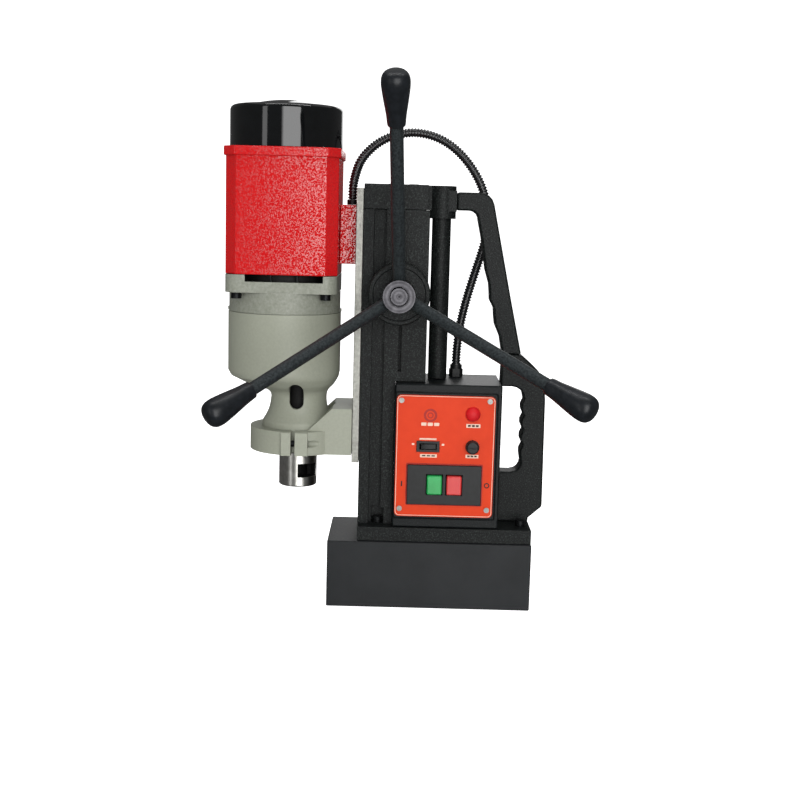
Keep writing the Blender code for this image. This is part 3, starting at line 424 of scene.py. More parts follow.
def studio():
    """A broad softbox in front, a narrow one to the left, weak ones above and behind, a white surround."""
    aim = (-0.05, 0.0, 0.25)
    # three sheets that overlap, so that the softbox fades towards its left edge
    right = 0.86
    for number, left in enumerate((-0.30, -0.25, -0.20)):
        centre = (left + right) / 2
        softbox(f"front_softbox_{number + 1}", (centre, -1.60 - 0.01 * number, 0.435), (centre, 0.0, 0.435),
                (right - left, 1.57), 8.4)
    softbox("left_strip", (-1.29, -1.39, 0.435), (-0.15, 0.0, 0.435), (0.31, 1.57), 3.0)
    softbox("top_softbox", (0.0, 0.2, 1.90), aim, (2.4, 2.4), 6.0)
    softbox("rear_softbox", (0.3, 1.9, 1.0), aim, (1.2, 1.0), 7.0)
    softbox("overhead_strip", (-0.05, -0.25, 1.6), (-0.05, -0.05, 0.3), (1.4, 0.07), 5.0)
    world = bpy.data.worlds.new("surround")
    world.use_nodes = True
    tree = world.node_tree
    tree.nodes.clear()
    rays = add(tree, "ShaderNodeLightPath")
    seen = add(tree, "ShaderNodeMapRange", {"Value": rays.outputs["Is Camera Ray"], "To Min": 0.50,
                                            "To Max": 1.0})
    light = add(tree, "ShaderNodeMix", {0: rays.outputs["Is Glossy Ray"], 2: seen.outputs["Result"],
                                        3: 0.10})
    back = add(tree, "ShaderNodeBackground", {"Color": linear("#FFFFFF"), "Strength": light.outputs[0]})
    add(tree, "ShaderNodeOutputWorld", {"Surface": back.outputs["Background"]})
    bpy.context.scene.world = world
    bpy.context.scene.view_settings.view_transform = "Standard"


def floor():
    """A white sweep: a floor that curves up into a wall behind the object, lit evenly all over."""
    made = bpy.data.materials.new("matt_white_sweep")
    made.use_nodes = True
    shader = made.node_tree.nodes["Principled BSDF"]
    for socket, value in {"Base Color": linear("#FFFFFF"), "Roughness": 1.0, "Specular IOR Level": 0.0,
                          "Emission Color": linear("#FFFFFF"), "Emission Strength": 0.85}.items():
        shader.inputs[socket].default_value = value
    below = -0.2 * MM
    angles = [pi / 2 * step / 12 for step in range(13)]
    bend = [(2.4 + 1.2 * sin(angle), 1.2 - 1.2 * cos(angle)) for angle in angles]
    outline = [(-6.0, below)] + [(y, z + below) for y, z in bend] + [(3.6, 5.0)]
    mesh = bmesh.new()
    edges = [[mesh.verts.new((x, y, z)) for y, z in outline] for x in (-6.0, 6.0)]
    for index in range(len(outline) - 1):
        mesh.faces.new((edges[0][index], edges[1][index], edges[1][index + 1], edges[0][index + 1]))
    item = new_object("sweep", mesh)
    item.data.shade_smooth()
    item.data.materials.append(made)
    item.visible_glossy = False
    item.visible_diffuse = False


# ---------------------------------------------------------------- finishes

def start_finish(name, colour, roughness, metallic=0.0, ior=1.5, coat=0.0, shine=0.5):
    """A Principled finish; a shine under 0.5 is for grain so coarse that it shades itself."""
    made = bpy.data.materials.new(name)
    made.use_nodes = True
    tree = made.node_tree
    shader = tree.nodes["Principled BSDF"]
    values = {"Base Color": linear(colour), "Roughness": roughness, "Metallic": metallic, "IOR": ior,
              "Coat Weight": coat, "Coat Roughness": 0.12, "Specular IOR Level": shine}
    for socket, value in values.items():
        shader.inputs[socket].default_value = value
    return made, tree, shader, add(tree, "ShaderNodeTexCoord").outputs["Object"]


def patches(tree, place, size, colours, spread=0.15):
    """Two colours that run into each other in patches of a size in metres."""
    noise = add(tree, "ShaderNodeTexNoise", {"Vector": place, "Scale": 1 / size, "Detail": 3.0})
    share = add(tree, "ShaderNodeMapRange", {"Value": noise.outputs["Fac"], "From Min": 0.5 - spread,
                                             "From Max": 0.5 + spread})
    return add(tree, "ShaderNodeMix", {0: share.outputs["Result"], 6: linear(colours[0]),
                                       7: linear(colours[1])},
               data_type="RGBA").outputs[2]


def wrinkle_paint(name, dark, light, grain, depth, roughness):
    """Black stoved paint whose skin has wrinkled: a dull surface whose wrinkle crests are painted lighter,
    a painted highlight that speckles it all over.
    """
    made, tree, shader, place = start_finish(name, dark, roughness, shine=0.16)
    skin = add(tree, "ShaderNodeTexNoise", {"Vector": place, "Scale": 1 / grain, "Detail": 2.0,
                                            "Roughness": 0.6})
    # the wrinkle crests get the light colour from the same noise as the bump: a painted highlight
    painted_crest_highlight = add(tree, "ShaderNodeMapRange", {"Value": skin.outputs["Fac"], "From Min": 0.52,
                                             "From Max": 0.72})
    colour = add(tree, "ShaderNodeMix", {0: painted_crest_highlight.outputs["Result"], 6: linear(dark), 7: linear(light)},
                 data_type="RGBA")
    bump = add(tree, "ShaderNodeBump", {"Height": skin.outputs["Fac"], "Distance": depth, "Strength": 0.9})
    tree.links.new(colour.outputs[2], shader.inputs["Base Color"])
    tree.links.new(bump.outputs["Normal"], shader.inputs["Normal"])
    return made


def satin_paint():
    """Sprayed paint on the ground faces of the base: nearly smooth, with a slight orange peel."""
    made, tree, shader, place = start_finish("satin_black_enamel_sprayed", "#1E2022", 0.46, shine=0.22)
    peel = add(tree, "ShaderNodeTexNoise", {"Vector": place, "Scale": 1 / (2.2 * MM), "Detail": 1.0})
    dull = add(tree, "ShaderNodeMapRange", {"Value": peel.outputs["Fac"], "To Min": 0.42, "To Max": 0.54})
    bump = add(tree, "ShaderNodeBump", {"Height": peel.outputs["Fac"], "Distance": 0.05 * MM,
                                        "Strength": 0.5})
    tree.links.new(patches(tree, place, 40 * MM, ("#1D1F21", "#222426")), shader.inputs["Base Color"])
    tree.links.new(dull.outputs["Result"], shader.inputs["Roughness"])
    tree.links.new(bump.outputs["Normal"], shader.inputs["Normal"])
    return made


def hammer_enamel():
    """Red hammer enamel: small dimples, and flakes in them, that break a reflection into pink sparks."""
    made, tree, shader, place = start_finish("red_hammer_enamel", "#BE151B", 0.16)
    dimple = add(tree, "ShaderNodeTexNoise", {"Vector": place, "Scale": 1 / (1.15 * MM), "Detail": 0.0})
    flakes = add(tree, "ShaderNodeMapRange", {"Value": dimple.outputs["Fac"], "From Min": 0.46,
                                              "From Max": 0.62,
                                              "To Min": 0.0, "To Max": 1.0})
    bump = add(tree, "ShaderNodeBump", {"Height": dimple.outputs["Fac"], "Distance": 0.05 * MM,
                                        "Strength": 1.0})
    tree.links.new(patches(tree, place, 1.3 * MM, ("#B41218", "#C6201F"), 0.2), shader.inputs["Base Color"])
    tree.links.new(flakes.outputs["Result"], shader.inputs["Specular IOR Level"])
    tree.links.new(bump.outputs["Normal"], shader.inputs["Normal"])
    return made


def cast_grey_paint(name, colours, sand_size, sand_depth):
    """Grey paint on an aluminium casting: an even coat over a fine sand grain."""
    made, tree, shader, place = start_finish(name, colours[0], 0.45, shine=0.4)
    sand = add(tree, "ShaderNodeTexNoise", {"Vector": place, "Scale": 1 / sand_size, "Detail": 3.0})
    dull = add(tree, "ShaderNodeMapRange", {"Value": sand.outputs["Fac"], "To Min": 0.38, "To Max": 0.55})
    bump = add(tree, "ShaderNodeBump", {"Height": sand.outputs["Fac"], "Distance": sand_depth,
                                        "Strength": 0.6})
    tree.links.new(patches(tree, place, 2.5 * MM, colours, 0.3), shader.inputs["Base Color"])
    tree.links.new(dull.outputs["Result"], shader.inputs["Roughness"])
    tree.links.new(bump.outputs["Normal"], shader.inputs["Normal"])
    return made


def gloss_plastic(name, colours, roughness, shine=0.5):
    """Moulded plastic with a shine, and a trace of flow in its colour."""
    made, tree, shader, place = start_finish(name, colours[0], roughness, shine=shine)
    ripple = add(tree, "ShaderNodeTexNoise", {"Vector": place, "Scale": 1 / (14 * MM), "Detail": 1.0})
    bump = add(tree, "ShaderNodeBump", {"Height": ripple.outputs["Fac"], "Distance": 0.06 * MM,
                                        "Strength": 0.25})
    tree.links.new(patches(tree, place, 12 * MM, colours), shader.inputs["Base Color"])
    tree.links.new(bump.outputs["Normal"], shader.inputs["Normal"])
    return made


def matt_plastic(name, colours, roughness, shine=0.3):
    """Moulded plastic from a spark-eroded tool: an even fine grain and no sharp reflection."""
    made, tree, shader, place = start_finish(name, colours[0], roughness, shine=shine)
    grain = add(tree, "ShaderNodeTexNoise", {"Vector": place, "Scale": 1 / (0.7 * MM), "Detail": 2.0})
    bump = add(tree, "ShaderNodeBump", {"Height": grain.outputs["Fac"], "Distance": 0.06 * MM,
                                        "Strength": 0.6})
    tree.links.new(patches(tree, place, 6 * MM, colours), shader.inputs["Base Color"])
    tree.links.new(bump.outputs["Normal"], shader.inputs["Normal"])
    return made


def ground_steel():
    """Surface-ground steel: pale, with fine lines along the slide's travel."""
    made, tree, shader, place = start_finish("ground_steel", "#A9A9A3", 0.50, metallic=0.85)
    stretch = add(tree, "ShaderNodeMapping", {"Vector": place, "Scale": (1.0, 1.0, 0.06)})
    lines = add(tree, "ShaderNodeTexNoise", {"Vector": stretch.outputs["Vector"], "Scale": 1 / (0.9 * MM),
                                             "Detail": 3.0})
    dull = add(tree, "ShaderNodeMapRange", {"Value": lines.outputs["Fac"], "To Min": 0.44, "To Max": 0.62})
    bump = add(tree, "ShaderNodeBump", {"Height": lines.outputs["Fac"], "Distance": 0.03 * MM,
                                        "Strength": 0.6})
    tree.links.new(patches(tree, place, 3 * MM, ("#8F8F89", "#A9A9A2"), 0.2), shader.inputs["Base Color"])
    tree.links.new(dull.outputs["Result"], shader.inputs["Roughness"])
    tree.links.new(bump.outputs["Normal"], shader.inputs["Normal"])
    return made


def turned_steel(name, centre, direction, colours, roughness):
    """Steel faced on a lathe: fine rings about its axis that catch the light."""
    made, tree, shader, place = start_finish(name, colours[0], roughness, metallic=1.0)
    centred = add(tree, "ShaderNodeMapping", {"Vector": place, "Location": [-value for value in centre]})
    # lathe marks are 0.1 mm apart; at 0.6 mm they can be seen
    rings = add(tree, "ShaderNodeTexWave", {"Vector": centred.outputs["Vector"],
                                            "Scale": 1 / (0.6 * MM) / 20,
                                            "Distortion": 0.4, "Detail": 1.0},
                wave_type="RINGS", rings_direction=direction)
    dull = add(tree, "ShaderNodeMapRange", {"Value": rings.outputs["Fac"], "To Min": roughness - 0.06,
                                            "To Max": roughness + 0.10})
    bump = add(tree, "ShaderNodeBump", {"Height": rings.outputs["Fac"], "Distance": 0.02 * MM,
                                        "Strength": 0.5})
    tree.links.new(patches(tree, place, 5 * MM, colours), shader.inputs["Base Color"])
    tree.links.new(dull.outputs["Result"], shader.inputs["Roughness"])
    tree.links.new(bump.outputs["Normal"], shader.inputs["Normal"])
    return made


def oxide_steel(name, colours, roughness, metallic=0.7):
    """Steel blacked in a hot bath: dark, dull and slightly rough from the drawn bar."""
    made, tree, shader, place = start_finish(name, colours[0], roughness, metallic=metallic, shine=0.3)
    grain = add(tree, "ShaderNodeTexNoise", {"Vector": place, "Scale": 1 / (1.1 * MM), "Detail": 3.0})
    dull = add(tree, "ShaderNodeMapRange", {"Value": grain.outputs["Fac"], "To Min": roughness - 0.1,
                                            "To Max": roughness + 0.15})
    bump = add(tree, "ShaderNodeBump", {"Height": grain.outputs["Fac"], "Distance": 0.10 * MM,
                                        "Strength": 0.7})
    tree.links.new(patches(tree, place, 1.8 * MM, colours), shader.inputs["Base Color"])
    tree.links.new(dull.outputs["Result"], shader.inputs["Roughness"])
    tree.links.new(bump.outputs["Normal"], shader.inputs["Normal"])
    return made


def soft_metal(name, colours, roughness):
    """Bronze, copper or zinc, as cast or drawn, with slight stains."""
    made, tree, shader, place = start_finish(name, colours[0], roughness, metallic=1.0)
    stain = add(tree, "ShaderNodeTexNoise", {"Vector": place, "Scale": 1 / (2.0 * MM), "Detail": 2.0})
    bump = add(tree, "ShaderNodeBump", {"Height": stain.outputs["Fac"], "Distance": 0.03 * MM,
                                        "Strength": 0.4})
    tree.links.new(patches(tree, place, 4 * MM, colours), shader.inputs["Base Color"])
    tree.links.new(bump.outputs["Normal"], shader.inputs["Normal"])
    return made


def banded(name, colours, pitch, roughness, metallic):
    """Thin layers on top of each other: stacked sheet steel, or turns of wire."""
    made, tree, shader, place = start_finish(name, colours[0], roughness, metallic=metallic)
    layers = add(tree, "ShaderNodeTexWave", {"Vector": place, "Scale": 1 / pitch / 20, "Distortion": 0.3},
                 wave_type="BANDS", bands_direction="Z")
    colour = add(tree, "ShaderNodeMix", {0: layers.outputs["Fac"], 6: linear(colours[0]),
                                         7: linear(colours[1])},
                 data_type="RGBA")
    bump = add(tree, "ShaderNodeBump", {"Height": layers.outputs["Fac"], "Distance": 0.15 * MM,
                                        "Strength": 0.8})
    tree.links.new(colour.outputs[2], shader.inputs["Base Color"])
    tree.links.new(bump.outputs["Normal"], shader.inputs["Normal"])
    return made


FINISH = {
    "cast_black": wrinkle_paint("black_wrinkle_paint_on_casting", "#101212", "#323836", 1.2 * MM, 0.28 * MM,
                                0.48),
    "box_black": wrinkle_paint("black_wrinkle_paint_on_sheet", "#0F1213", "#2A3031", 0.9 * MM, 0.20 * MM,
                               0.40),
    "base_black": satin_paint(),
    "red": hammer_enamel(),
    "grey": cast_grey_paint("grey_paint_on_die_casting", ("#8F9284", "#979A8B"), 1.0 * MM, 0.05 * MM),
    "rough_grey": cast_grey_paint("grey_paint_on_sand_casting", ("#777A6D", "#92958A"), 1.4 * MM,
                                  0.25 * MM),
    "cap_black": gloss_plastic("black_abs_moulded_gloss", ("#08090A", "#0B0D0E"), 0.07, 0.65),
    "slide": ground_steel(),
    "hub": turned_steel("faced_steel_of_the_hub", (FEED_X, 0.0, FEED_Z), "Y", ("#444346", "#545356"), 0.42),
    "nose": turned_steel("ground_steel_of_the_spindle", (SPINDLE_X, 0.0, 0.0), "Z", ("#BDBCB6", "#CFCEC9"),
                         0.36),
    "rod": oxide_steel("black_oxide_steel_rod", ("#1E2325", "#33393B"), 0.50, 0.3),
    "screw_black": oxide_steel("black_oxide_steel_screw", ("#131415", "#1F2122"), 0.38),
    "knob": matt_plastic("black_phenolic_moulded", ("#14171A", "#1B1E22"), 0.34),
    "orange": gloss_plastic("orange_printed_aluminium", ("#CC3712", "#D13A14"), 0.45, 0.15),
    "ink_white": matt_plastic("white_screen_ink", ("#E6C8B4", "#D9BCA9"), 0.55),
    "ink_dark": matt_plastic("black_screen_ink", ("#2A1712", "#331C16"), 0.55),
    "red_ink_and_painted_shadow": matt_plastic("red_screen_ink_and_painted_shadow", ("#94190D", "#A32113"), 0.50),
    "switch_black": matt_plastic("black_abs_moulded_grained", ("#101112", "#151718"), 0.42),
    "gland": matt_plastic("black_nylon_moulded", ("#0E1011", "#151718"), 0.38),
    "conduit": matt_plastic("black_nylon_corrugated", ("#0B0C0D", "#15171A"), 0.26, 1.0),
    "green": gloss_plastic("green_polycarbonate_moulded", ("#1B9247", "#229C4F"), 0.32, 0.4),
    "button_red": gloss_plastic("red_polycarbonate_moulded", ("#C02E2E", "#C63634"), 0.32, 0.4),
    "lens": gloss_plastic("red_acrylic_lens", ("#C0101A", "#CA151D"), 0.50, 0.25),
    "bronze": soft_metal("sintered_bronze", ("#9A7A45", "#AE8D55"), 0.42),
    "zinc": soft_metal("zinc_plated_steel", ("#7E7E7A", "#92928E"), 0.42),
    "gear": soft_metal("hobbed_gear_steel", ("#8E8F8E", "#A5A6A4"), 0.32),
    # near-black painted shade for bores and hollows that light doesn't reach; it also colours the spindle's
    # black-oxide top
    "bore": oxide_steel("painted_shade_and_black_oxide", ("#0B0B0B", "#141413"), 0.60, 0.2),
    "laminations": banded("stacked_sheet_steel", ("#55585B", "#6C6F72"), 1.0 * MM, 0.45, 1.0),
    "winding": banded("enamelled_copper_wire", ("#9C4F22", "#C0703A"), 1.2 * MM, 0.35, 0.8),
    "pole": soft_metal("machined_pole_iron", ("#77797B", "#8B8D8F"), 0.40),
    "board": matt_plastic("green_circuit_board", ("#1B5A33", "#236B3F"), 0.45),
}


# ---------------------------------------------------------------- the conduit

CONDUIT_ROUTE = (
    (-0.0845, 0.0215, 0.3968), (-0.0844, 0.0223, 0.4064), (-0.0833, 0.0254, 0.4166),
    (-0.0781, 0.0330, 0.4338),
    (-0.0669, 0.0392, 0.4482), (-0.0515, 0.0418, 0.4585), (-0.0330, 0.0420, 0.4637),
    (-0.0177, 0.0420, 0.4639),
    (-0.0024, 0.0415, 0.4603), (0.0122, 0.0400, 0.4526), (0.0257, 0.0375, 0.4407), (0.0376, 0.0345, 0.4249),
    (0.0460, 0.0315, 0.4071), (0.0503, 0.0285, 0.3870), (0.0501, 0.0262, 0.3670), (0.0460, 0.0250, 0.3484),
    (0.0408, 0.0243, 0.3310), (0.0355, 0.0238, 0.3130), (0.0305, 0.0228, 0.2940), (0.0264, 0.0216, 0.2740),
    (0.0242, 0.0206, 0.2550), (0.0235, 0.0200, 0.2430), (0.0235, 0.0200, 0.2348),
)
CONDUIT_DIAMETER = 9.4 * MM
RIB_PITCH = 3.0 * MM
RIB_DEPTH = 0.95 * MM


def new_tree(name, sockets):
    """A Geometry Nodes tree with these named inputs; returns it with its input and output nodes."""
    tree = bpy.data.node_groups.new(name, "GeometryNodeTree")
    tree.interface.new_socket("Geometry", in_out="OUTPUT", socket_type="NodeSocketGeometry")
    tree.interface.new_socket("Geometry", in_out="INPUT", socket_type="NodeSocketGeometry")
    for socket, kind in sockets.items():
        tree.interface.new_socket(socket, in_out="INPUT", socket_type="NodeSocket" + kind)
    return tree, tree.nodes.new("NodeGroupInput").outputs


def run_tree(item, tree, values):
    """Put a tree on an object, set its inputs by identifier, and turn the result into a plain mesh."""
    change = item.modifiers.new(tree.name, "NODES")
    change.node_group = tree
    for socket in tree.interface.items_tree:
        if socket.in_out == "INPUT" and socket.name in values:
            change[socket.identifier] = values[socket.name]
    return settle(item)


def corrugated_tree():
    """A tube swept along a curve, with round ribs at an even pitch."""
    tree, given = new_tree("corrugated_tube", {"Rib Pitch": "Float", "Outer Radius": "Float",
                                               "Rib Depth": "Float",
                                               "Sides": "Int", "Material": "Material"})
    step = add(tree, "ShaderNodeMath", {0: given["Rib Pitch"], 1: 8.0}, operation="DIVIDE")
    line = add(tree, "GeometryNodeResampleCurve", {"Curve": given["Geometry"], "Length": step.outputs[0]},
               mode="LENGTH")
    place = add(tree, "GeometryNodeSplineParameter")
    turns = add(tree, "ShaderNodeMath", {0: place.outputs["Length"], 1: given["Rib Pitch"]},
                operation="DIVIDE")
    angle = add(tree, "ShaderNodeMath", {0: turns.outputs[0], 1: tau}, operation="MULTIPLY")
    wave = add(tree, "ShaderNodeMath", {0: angle.outputs[0]}, operation="COSINE")
    valley = add(tree, "ShaderNodeMapRange", {"Value": wave.outputs[0], "From Min": -0.6, "From Max": 0.4,
                                              "To Min": 0.0, "To Max": 1.0},
                                              interpolation_type="SMOOTHSTEP")
    depth = add(tree, "ShaderNodeMath", {0: valley.outputs["Result"], 1: given["Rib Depth"]},
                operation="MULTIPLY")
    radius = add(tree, "ShaderNodeMath", {0: given["Outer Radius"], 1: depth.outputs[0]},
                 operation="SUBTRACT")
    section = add(tree, "GeometryNodeCurvePrimitiveCircle", {"Resolution": given["Sides"], "Radius": 1.0})
    tube = add(tree, "GeometryNodeCurveToMesh", {"Curve": line.outputs[0],
                                                 "Profile Curve": section.outputs[0],
                                                 "Scale": radius.outputs[0], "Fill Caps": True})
    shaded = add(tree, "GeometryNodeSetShadeSmooth", {"Geometry": tube.outputs[0], "Shade Smooth": True})
    real = add(tree, "GeometryNodeRealizeInstances", {"Geometry": shaded.outputs[0]})
    dressed = add(tree, "GeometryNodeSetMaterial", {"Geometry": real.outputs[0],
                                                    "Material": given["Material"]})
    add(tree, "NodeGroupOutput", {"Geometry": dressed.outputs[0]})
    return tree


def conduit(glands):
    """Corrugated conduit, clipped between the motor's gland and the control box's."""
    data = bpy.data.curves.new("conduit_line", "CURVE")
    data.dimensions = "3D"
    spline = data.splines.new("POLY")
    line = smooth(CONDUIT_ROUTE, 6)
    spline.points.add(len(line) - 1)
    for place, point in zip(spline.points, line):
        place.co = (*point, 1.0)
    item = bpy.data.objects.new("corrugated_conduit", data)
    bpy.context.scene.collection.objects.link(item)
    item = run_tree(item, corrugated_tree(), {"Rib Pitch": RIB_PITCH, "Outer Radius": CONDUIT_DIAMETER / 2,
                                              "Rib Depth": RIB_DEPTH, "Sides": 20,
                                              "Material": FINISH["conduit"]})
    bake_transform(item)
    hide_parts("conduit")


def conduit_glands():
    """A hexagonal gland nut on the control box and a round sleeve on the terminal box."""
    x, y = middle("box_conduit_gland", "X"), middle("box_conduit_gland", "Y")
    low, high = span("control_box", "Z")[1] + 0.3 * MM, span("box_conduit_gland", "Z")[1]
    collar = disc(x, y, 6.0 * MM, low + 7.5 * MM, high, count=48)
    shank = disc(x, y, 4.0 * MM, low - 6 * MM, low + 2 * MM, count=32)
    nut = solid("box_gland_nut", prism(ring_of(x, y, 7.1 * MM, 6), low, low + 8 * MM), FINISH["gland"],
                joins=(collar, shank), edge=0.5 * MM)
    stand_for(nut, "box_conduit_gland")
    x, y = middle("motor_conduit_gland", "X"), middle("motor_conduit_gland", "Y")
    low, high = span("motor_conduit_gland", "Z")
    sleeve = solid("motor_gland_sleeve", disc(x, y, 5.4 * MM, low, high), FINISH["gland"], edge=0.6 * MM)
    stand_for(sleeve, "motor_conduit_gland")
    return nut, sleeve


camera()
conduit(conduit_glands())
studio()
floor()


# ---------------------------------------------------------------- screws

def screw_tree():
    """A socket-head screw, made once and set on every point, with its axis along a direction."""
    tree, given = new_tree("screws_on_points", {
        "Head Radius": "Float", "Head Height": "Float", "Recess Radius": "Float", "Recess Sides": "Int",
        "Axis": "Vector", "Material": "Material"})
    head = add(tree, "GeometryNodeMeshCylinder", {"Vertices": 32, "Radius": given["Head Radius"],
                                                  "Depth": given["Head Height"]})
    half = add(tree, "ShaderNodeMath", {0: given["Head Height"], 1: 0.5}, operation="MULTIPLY")
    up = add(tree, "ShaderNodeCombineXYZ", {"Z": half.outputs[0]})
    recess = add(tree, "GeometryNodeMeshCylinder", {"Vertices": given["Recess Sides"],
                                                    "Depth": given["Head Height"],
                                                    "Radius": given["Recess Radius"]})
    raised = add(tree, "GeometryNodeTransform", {"Geometry": recess.outputs["Mesh"],
                                                 "Translation": up.outputs[0]})
    screw = add(tree, "GeometryNodeMeshBoolean", {"Mesh 1": head.outputs["Mesh"],
                                                  "Mesh 2": raised.outputs[0]},
                operation="DIFFERENCE")
    seated = add(tree, "GeometryNodeTransform", {"Geometry": screw.outputs["Mesh"],
                                                 "Translation": up.outputs[0]})
    points = add(tree, "GeometryNodeMeshToPoints", {"Mesh": given["Geometry"]})
    aimed = add(tree, "FunctionNodeAlignRotationToVector", {"Vector": given["Axis"]}, axis="Z")
    placed = add(tree, "GeometryNodeInstanceOnPoints", {"Points": points.outputs[0],
                                                        "Instance": seated.outputs[0],
                                                        "Rotation": aimed.outputs[0]})
    real = add(tree, "GeometryNodeRealizeInstances", {"Geometry": placed.outputs[0]})
    dressed = add(tree, "GeometryNodeSetMaterial", {"Geometry": real.outputs[0],
                                                    "Material": given["Material"]})
    add(tree, "NodeGroupOutput", {"Geometry": dressed.outputs[0]})
    return tree


SCREWS = screw_tree()


def screws(name, places, axis, radius, height, finish, node, recess=0.5, sides=6):
    mesh = bmesh.new()
    for place in places:
        mesh.verts.new(place)
    item = run_tree(new_object(name, mesh), SCREWS, {
        "Head Radius": radius, "Head Height": height, "Recess Radius": radius * recess,
        "Recess Sides": sides,
        "Axis": axis, "Material": FINISH[finish]})
    return fix_to(item, node)


# ---------------------------------------------------------------- carriage

CASE_RADIUS = 55.5 * MM
CASE_INSIDE = 50.5 * MM
CASE_STEP = 230.0 * MM            # height at which the case's cavity meets the neck's bore
NECK_FOOT = 150.0 * MM
NECK_RADIUS = 35.7 * MM
NECK_BORE = 23.3 * MM


def loft_case():
    """Round case that draws in to an off-centre neck; gear_case cuts the drift window through the neck."""
    top = span("gearcase_lower", "Z")[1]
    shape = ((MOTOR_X + 1 * MM, 53.5 * MM, 222.2 * MM),
             ((MOTOR_X + SPINDLE_X) / 2 - 0.5 * MM, 43.0 * MM, 214.5 * MM),
             (SPINDLE_X - 2 * MM, 31.8 * MM, 209.0 * MM), (SPINDLE_X, 28.0 * MM, 204.0 * MM),
             (SPINDLE_X, 28.0 * MM, 197.0 * MM), (SPINDLE_X, 29.6 * MM, 189.0 * MM),
             (SPINDLE_X, 32.5 * MM, 182.5 * MM), (SPINDLE_X, NECK_RADIUS, 177.0 * MM))
    outer = [(MOTOR_X, CASE_RADIUS, top), (MOTOR_X, CASE_RADIUS, 227.5 * MM)] + smooth(shape, 4)
    inner = [(SPINDLE_X, NECK_RADIUS, NECK_FOOT), (SPINDLE_X, NECK_BORE, NECK_FOOT),
             (SPINDLE_X, NECK_BORE, CASE_STEP), (MOTOR_X, CASE_INSIDE, CASE_STEP),
             (MOTOR_X, CASE_INSIDE, top)]
    sections = [(x, 0.0, radius, height) for x, radius, height in outer + inner]
    mesh = stacked(sections, count=ROUND)
    mesh.faces.ensure_lookup_table()
    rim_low, rim_high = [mesh.verts[start:start + ROUND] for start in (0, len(mesh.verts) - ROUND)]
    bridge(mesh, rim_high, rim_low)
    return mesh


def stadium(u, v, width, height, steps=16):
    """Outline of an upright slot with round ends."""
    radius = width / 2
    rise = height / 2 - radius
    top = [(u + radius * cos(pi * step / steps), v + rise + radius * sin(pi * step / steps))
           for step in range(steps + 1)]
    return top + [(2 * u - a, 2 * v - b) for a, b in top]


def gear_case():
    idler = (middle("idler_gear", "X"), middle("idler_gear", "Y"))
    window = prism(stadium(SPINDLE_X, 205 * MM, 13.9 * MM, 27 * MM), -60 * MM, 60 * MM, "Y")
    lower = solid("gearcase_lower_casting", loft_case(), FINISH["grey"], edge=0.7 * MM,
                  cuts=(window, disc(*idler, 4.3 * MM, 222 * MM, 235 * MM, count=24)))
    # the faces inside the neck's bore are painted near-black: painted shade
    paint_inside(lower, FINISH["bore"], lambda c: Vector((c.x - SPINDLE_X,
                                                          c.y)).length < 25.5 * MM and c.z < 0.23)
    stand_for(lower, "gearcase_lower")
    low, high = span("gearcase_upper", "Z")
    flange = prism(square(MOTOR_X, HOUSING_HALF, 12 * MM), 306 * MM, high)
    outlet = block((MOTOR_X - 33.5 * MM, MOTOR_X + 40.5 * MM), (-60 * MM, 60 * MM), (316.5 * MM, 330 * MM))
    upper = solid("gearcase_upper_casting", disc(MOTOR_X, 0.0, 54.7 * MM, low, 307 * MM),
                  FINISH["rough_grey"],
                  joins=(flange,), edge=1.0 * MM, segments=3,
                  cuts=(disc(MOTOR_X, 0.0, 49.7 * MM, low - 5 * MM, 297.5 * MM),
                        disc(MOTOR_X, 0.0, 47.0 * MM, 304.5 * MM, high + 5 * MM),
                        disc(MOTOR_X, 0.0, 11.0 * MM, 290 * MM, 320 * MM, count=32),
                        disc(*idler, 4.3 * MM, 290 * MM, 302 * MM, count=24), outlet))
    # the faces inside the outlet slot are painted near-black: painted shade
    paint_inside(upper, FINISH["bore"],
                 lambda c: abs(c.y) < 48 * MM and abs(c.x - MOTOR_X) < 45 * MM and c.z > 0.3045)
    stand_for(upper, "gearcase_upper")
    # a near-black ring that lines the bore behind the outlet slot: painted shade, so the outlet reads dark
    shroud = solid("fan_shroud_painted_shade", disc(MOTOR_X, 0.0, 46.6 * MM, 304.8 * MM, high - 0.1 * MM), FINISH["bore"],
                   cuts=(disc(MOTOR_X, 0.0, 45.4 * MM, 300 * MM, 330 * MM),))
    fix_to(shroud, "gearcase_upper")
    fins = []
    for side in (-1, 1):
        for place in (0.33, 0.67):
            x = MOTOR_X - 33.5 * MM + place * 74 * MM
            fins.append(block((x - 0.6 * MM, x + 0.6 * MM), sorted((side * 47.2 * MM, side * 52.6 * MM)),
                              (316.4 * MM, high - 0.2 * MM)))
    fix_to(solid("outlet_fins", merged(fins), FINISH["screw_black"]), "gearcase_upper")
    lugs = [block(sorted((MOTOR_X + side * 54.4 * MM, MOTOR_X + side * 55.9 * MM)), (-4 * MM, 4 * MM),
                  (286.2 * MM, 289.5 * MM)) for side in (-1, 1)]
    fix_to(solid("seam_lugs", merged(lugs), FINISH["rough_grey"], edge=0.3 * MM), "gearcase_upper")
    places = [(MOTOR_X + side * 42.6 * MM, y * 44 * MM, 306 * MM) for side in (-1, 1) for y in (-1, 1)]
    screws("flange_screws", places, (0.0, 0.0, -1.0), 5 * MM, 6 * MM, "screw_black", "gearcase_upper")


HOUSING_HALF = 53.4 * MM          # half the width of the motor housing, and of the flange under it


def square(u, half, corner, chamfer=0.0):
    """Outline of a square about (u, 0) with round corners, or chamfered ones with round edges."""
    if not chamfer:
        return rounded([(u + a * half, b * half, corner) for a, b in ((1, 1), (-1, 1), (-1, -1), (1, -1))],
                       10)
    low = half - chamfer
    points = [(half, low), (low, half), (-low, half), (-half, low), (-half, -low), (-low, -half),
              (low, -half),
              (half, -low)]
    return rounded([(u + a, b, corner) for a, b in points], 5)


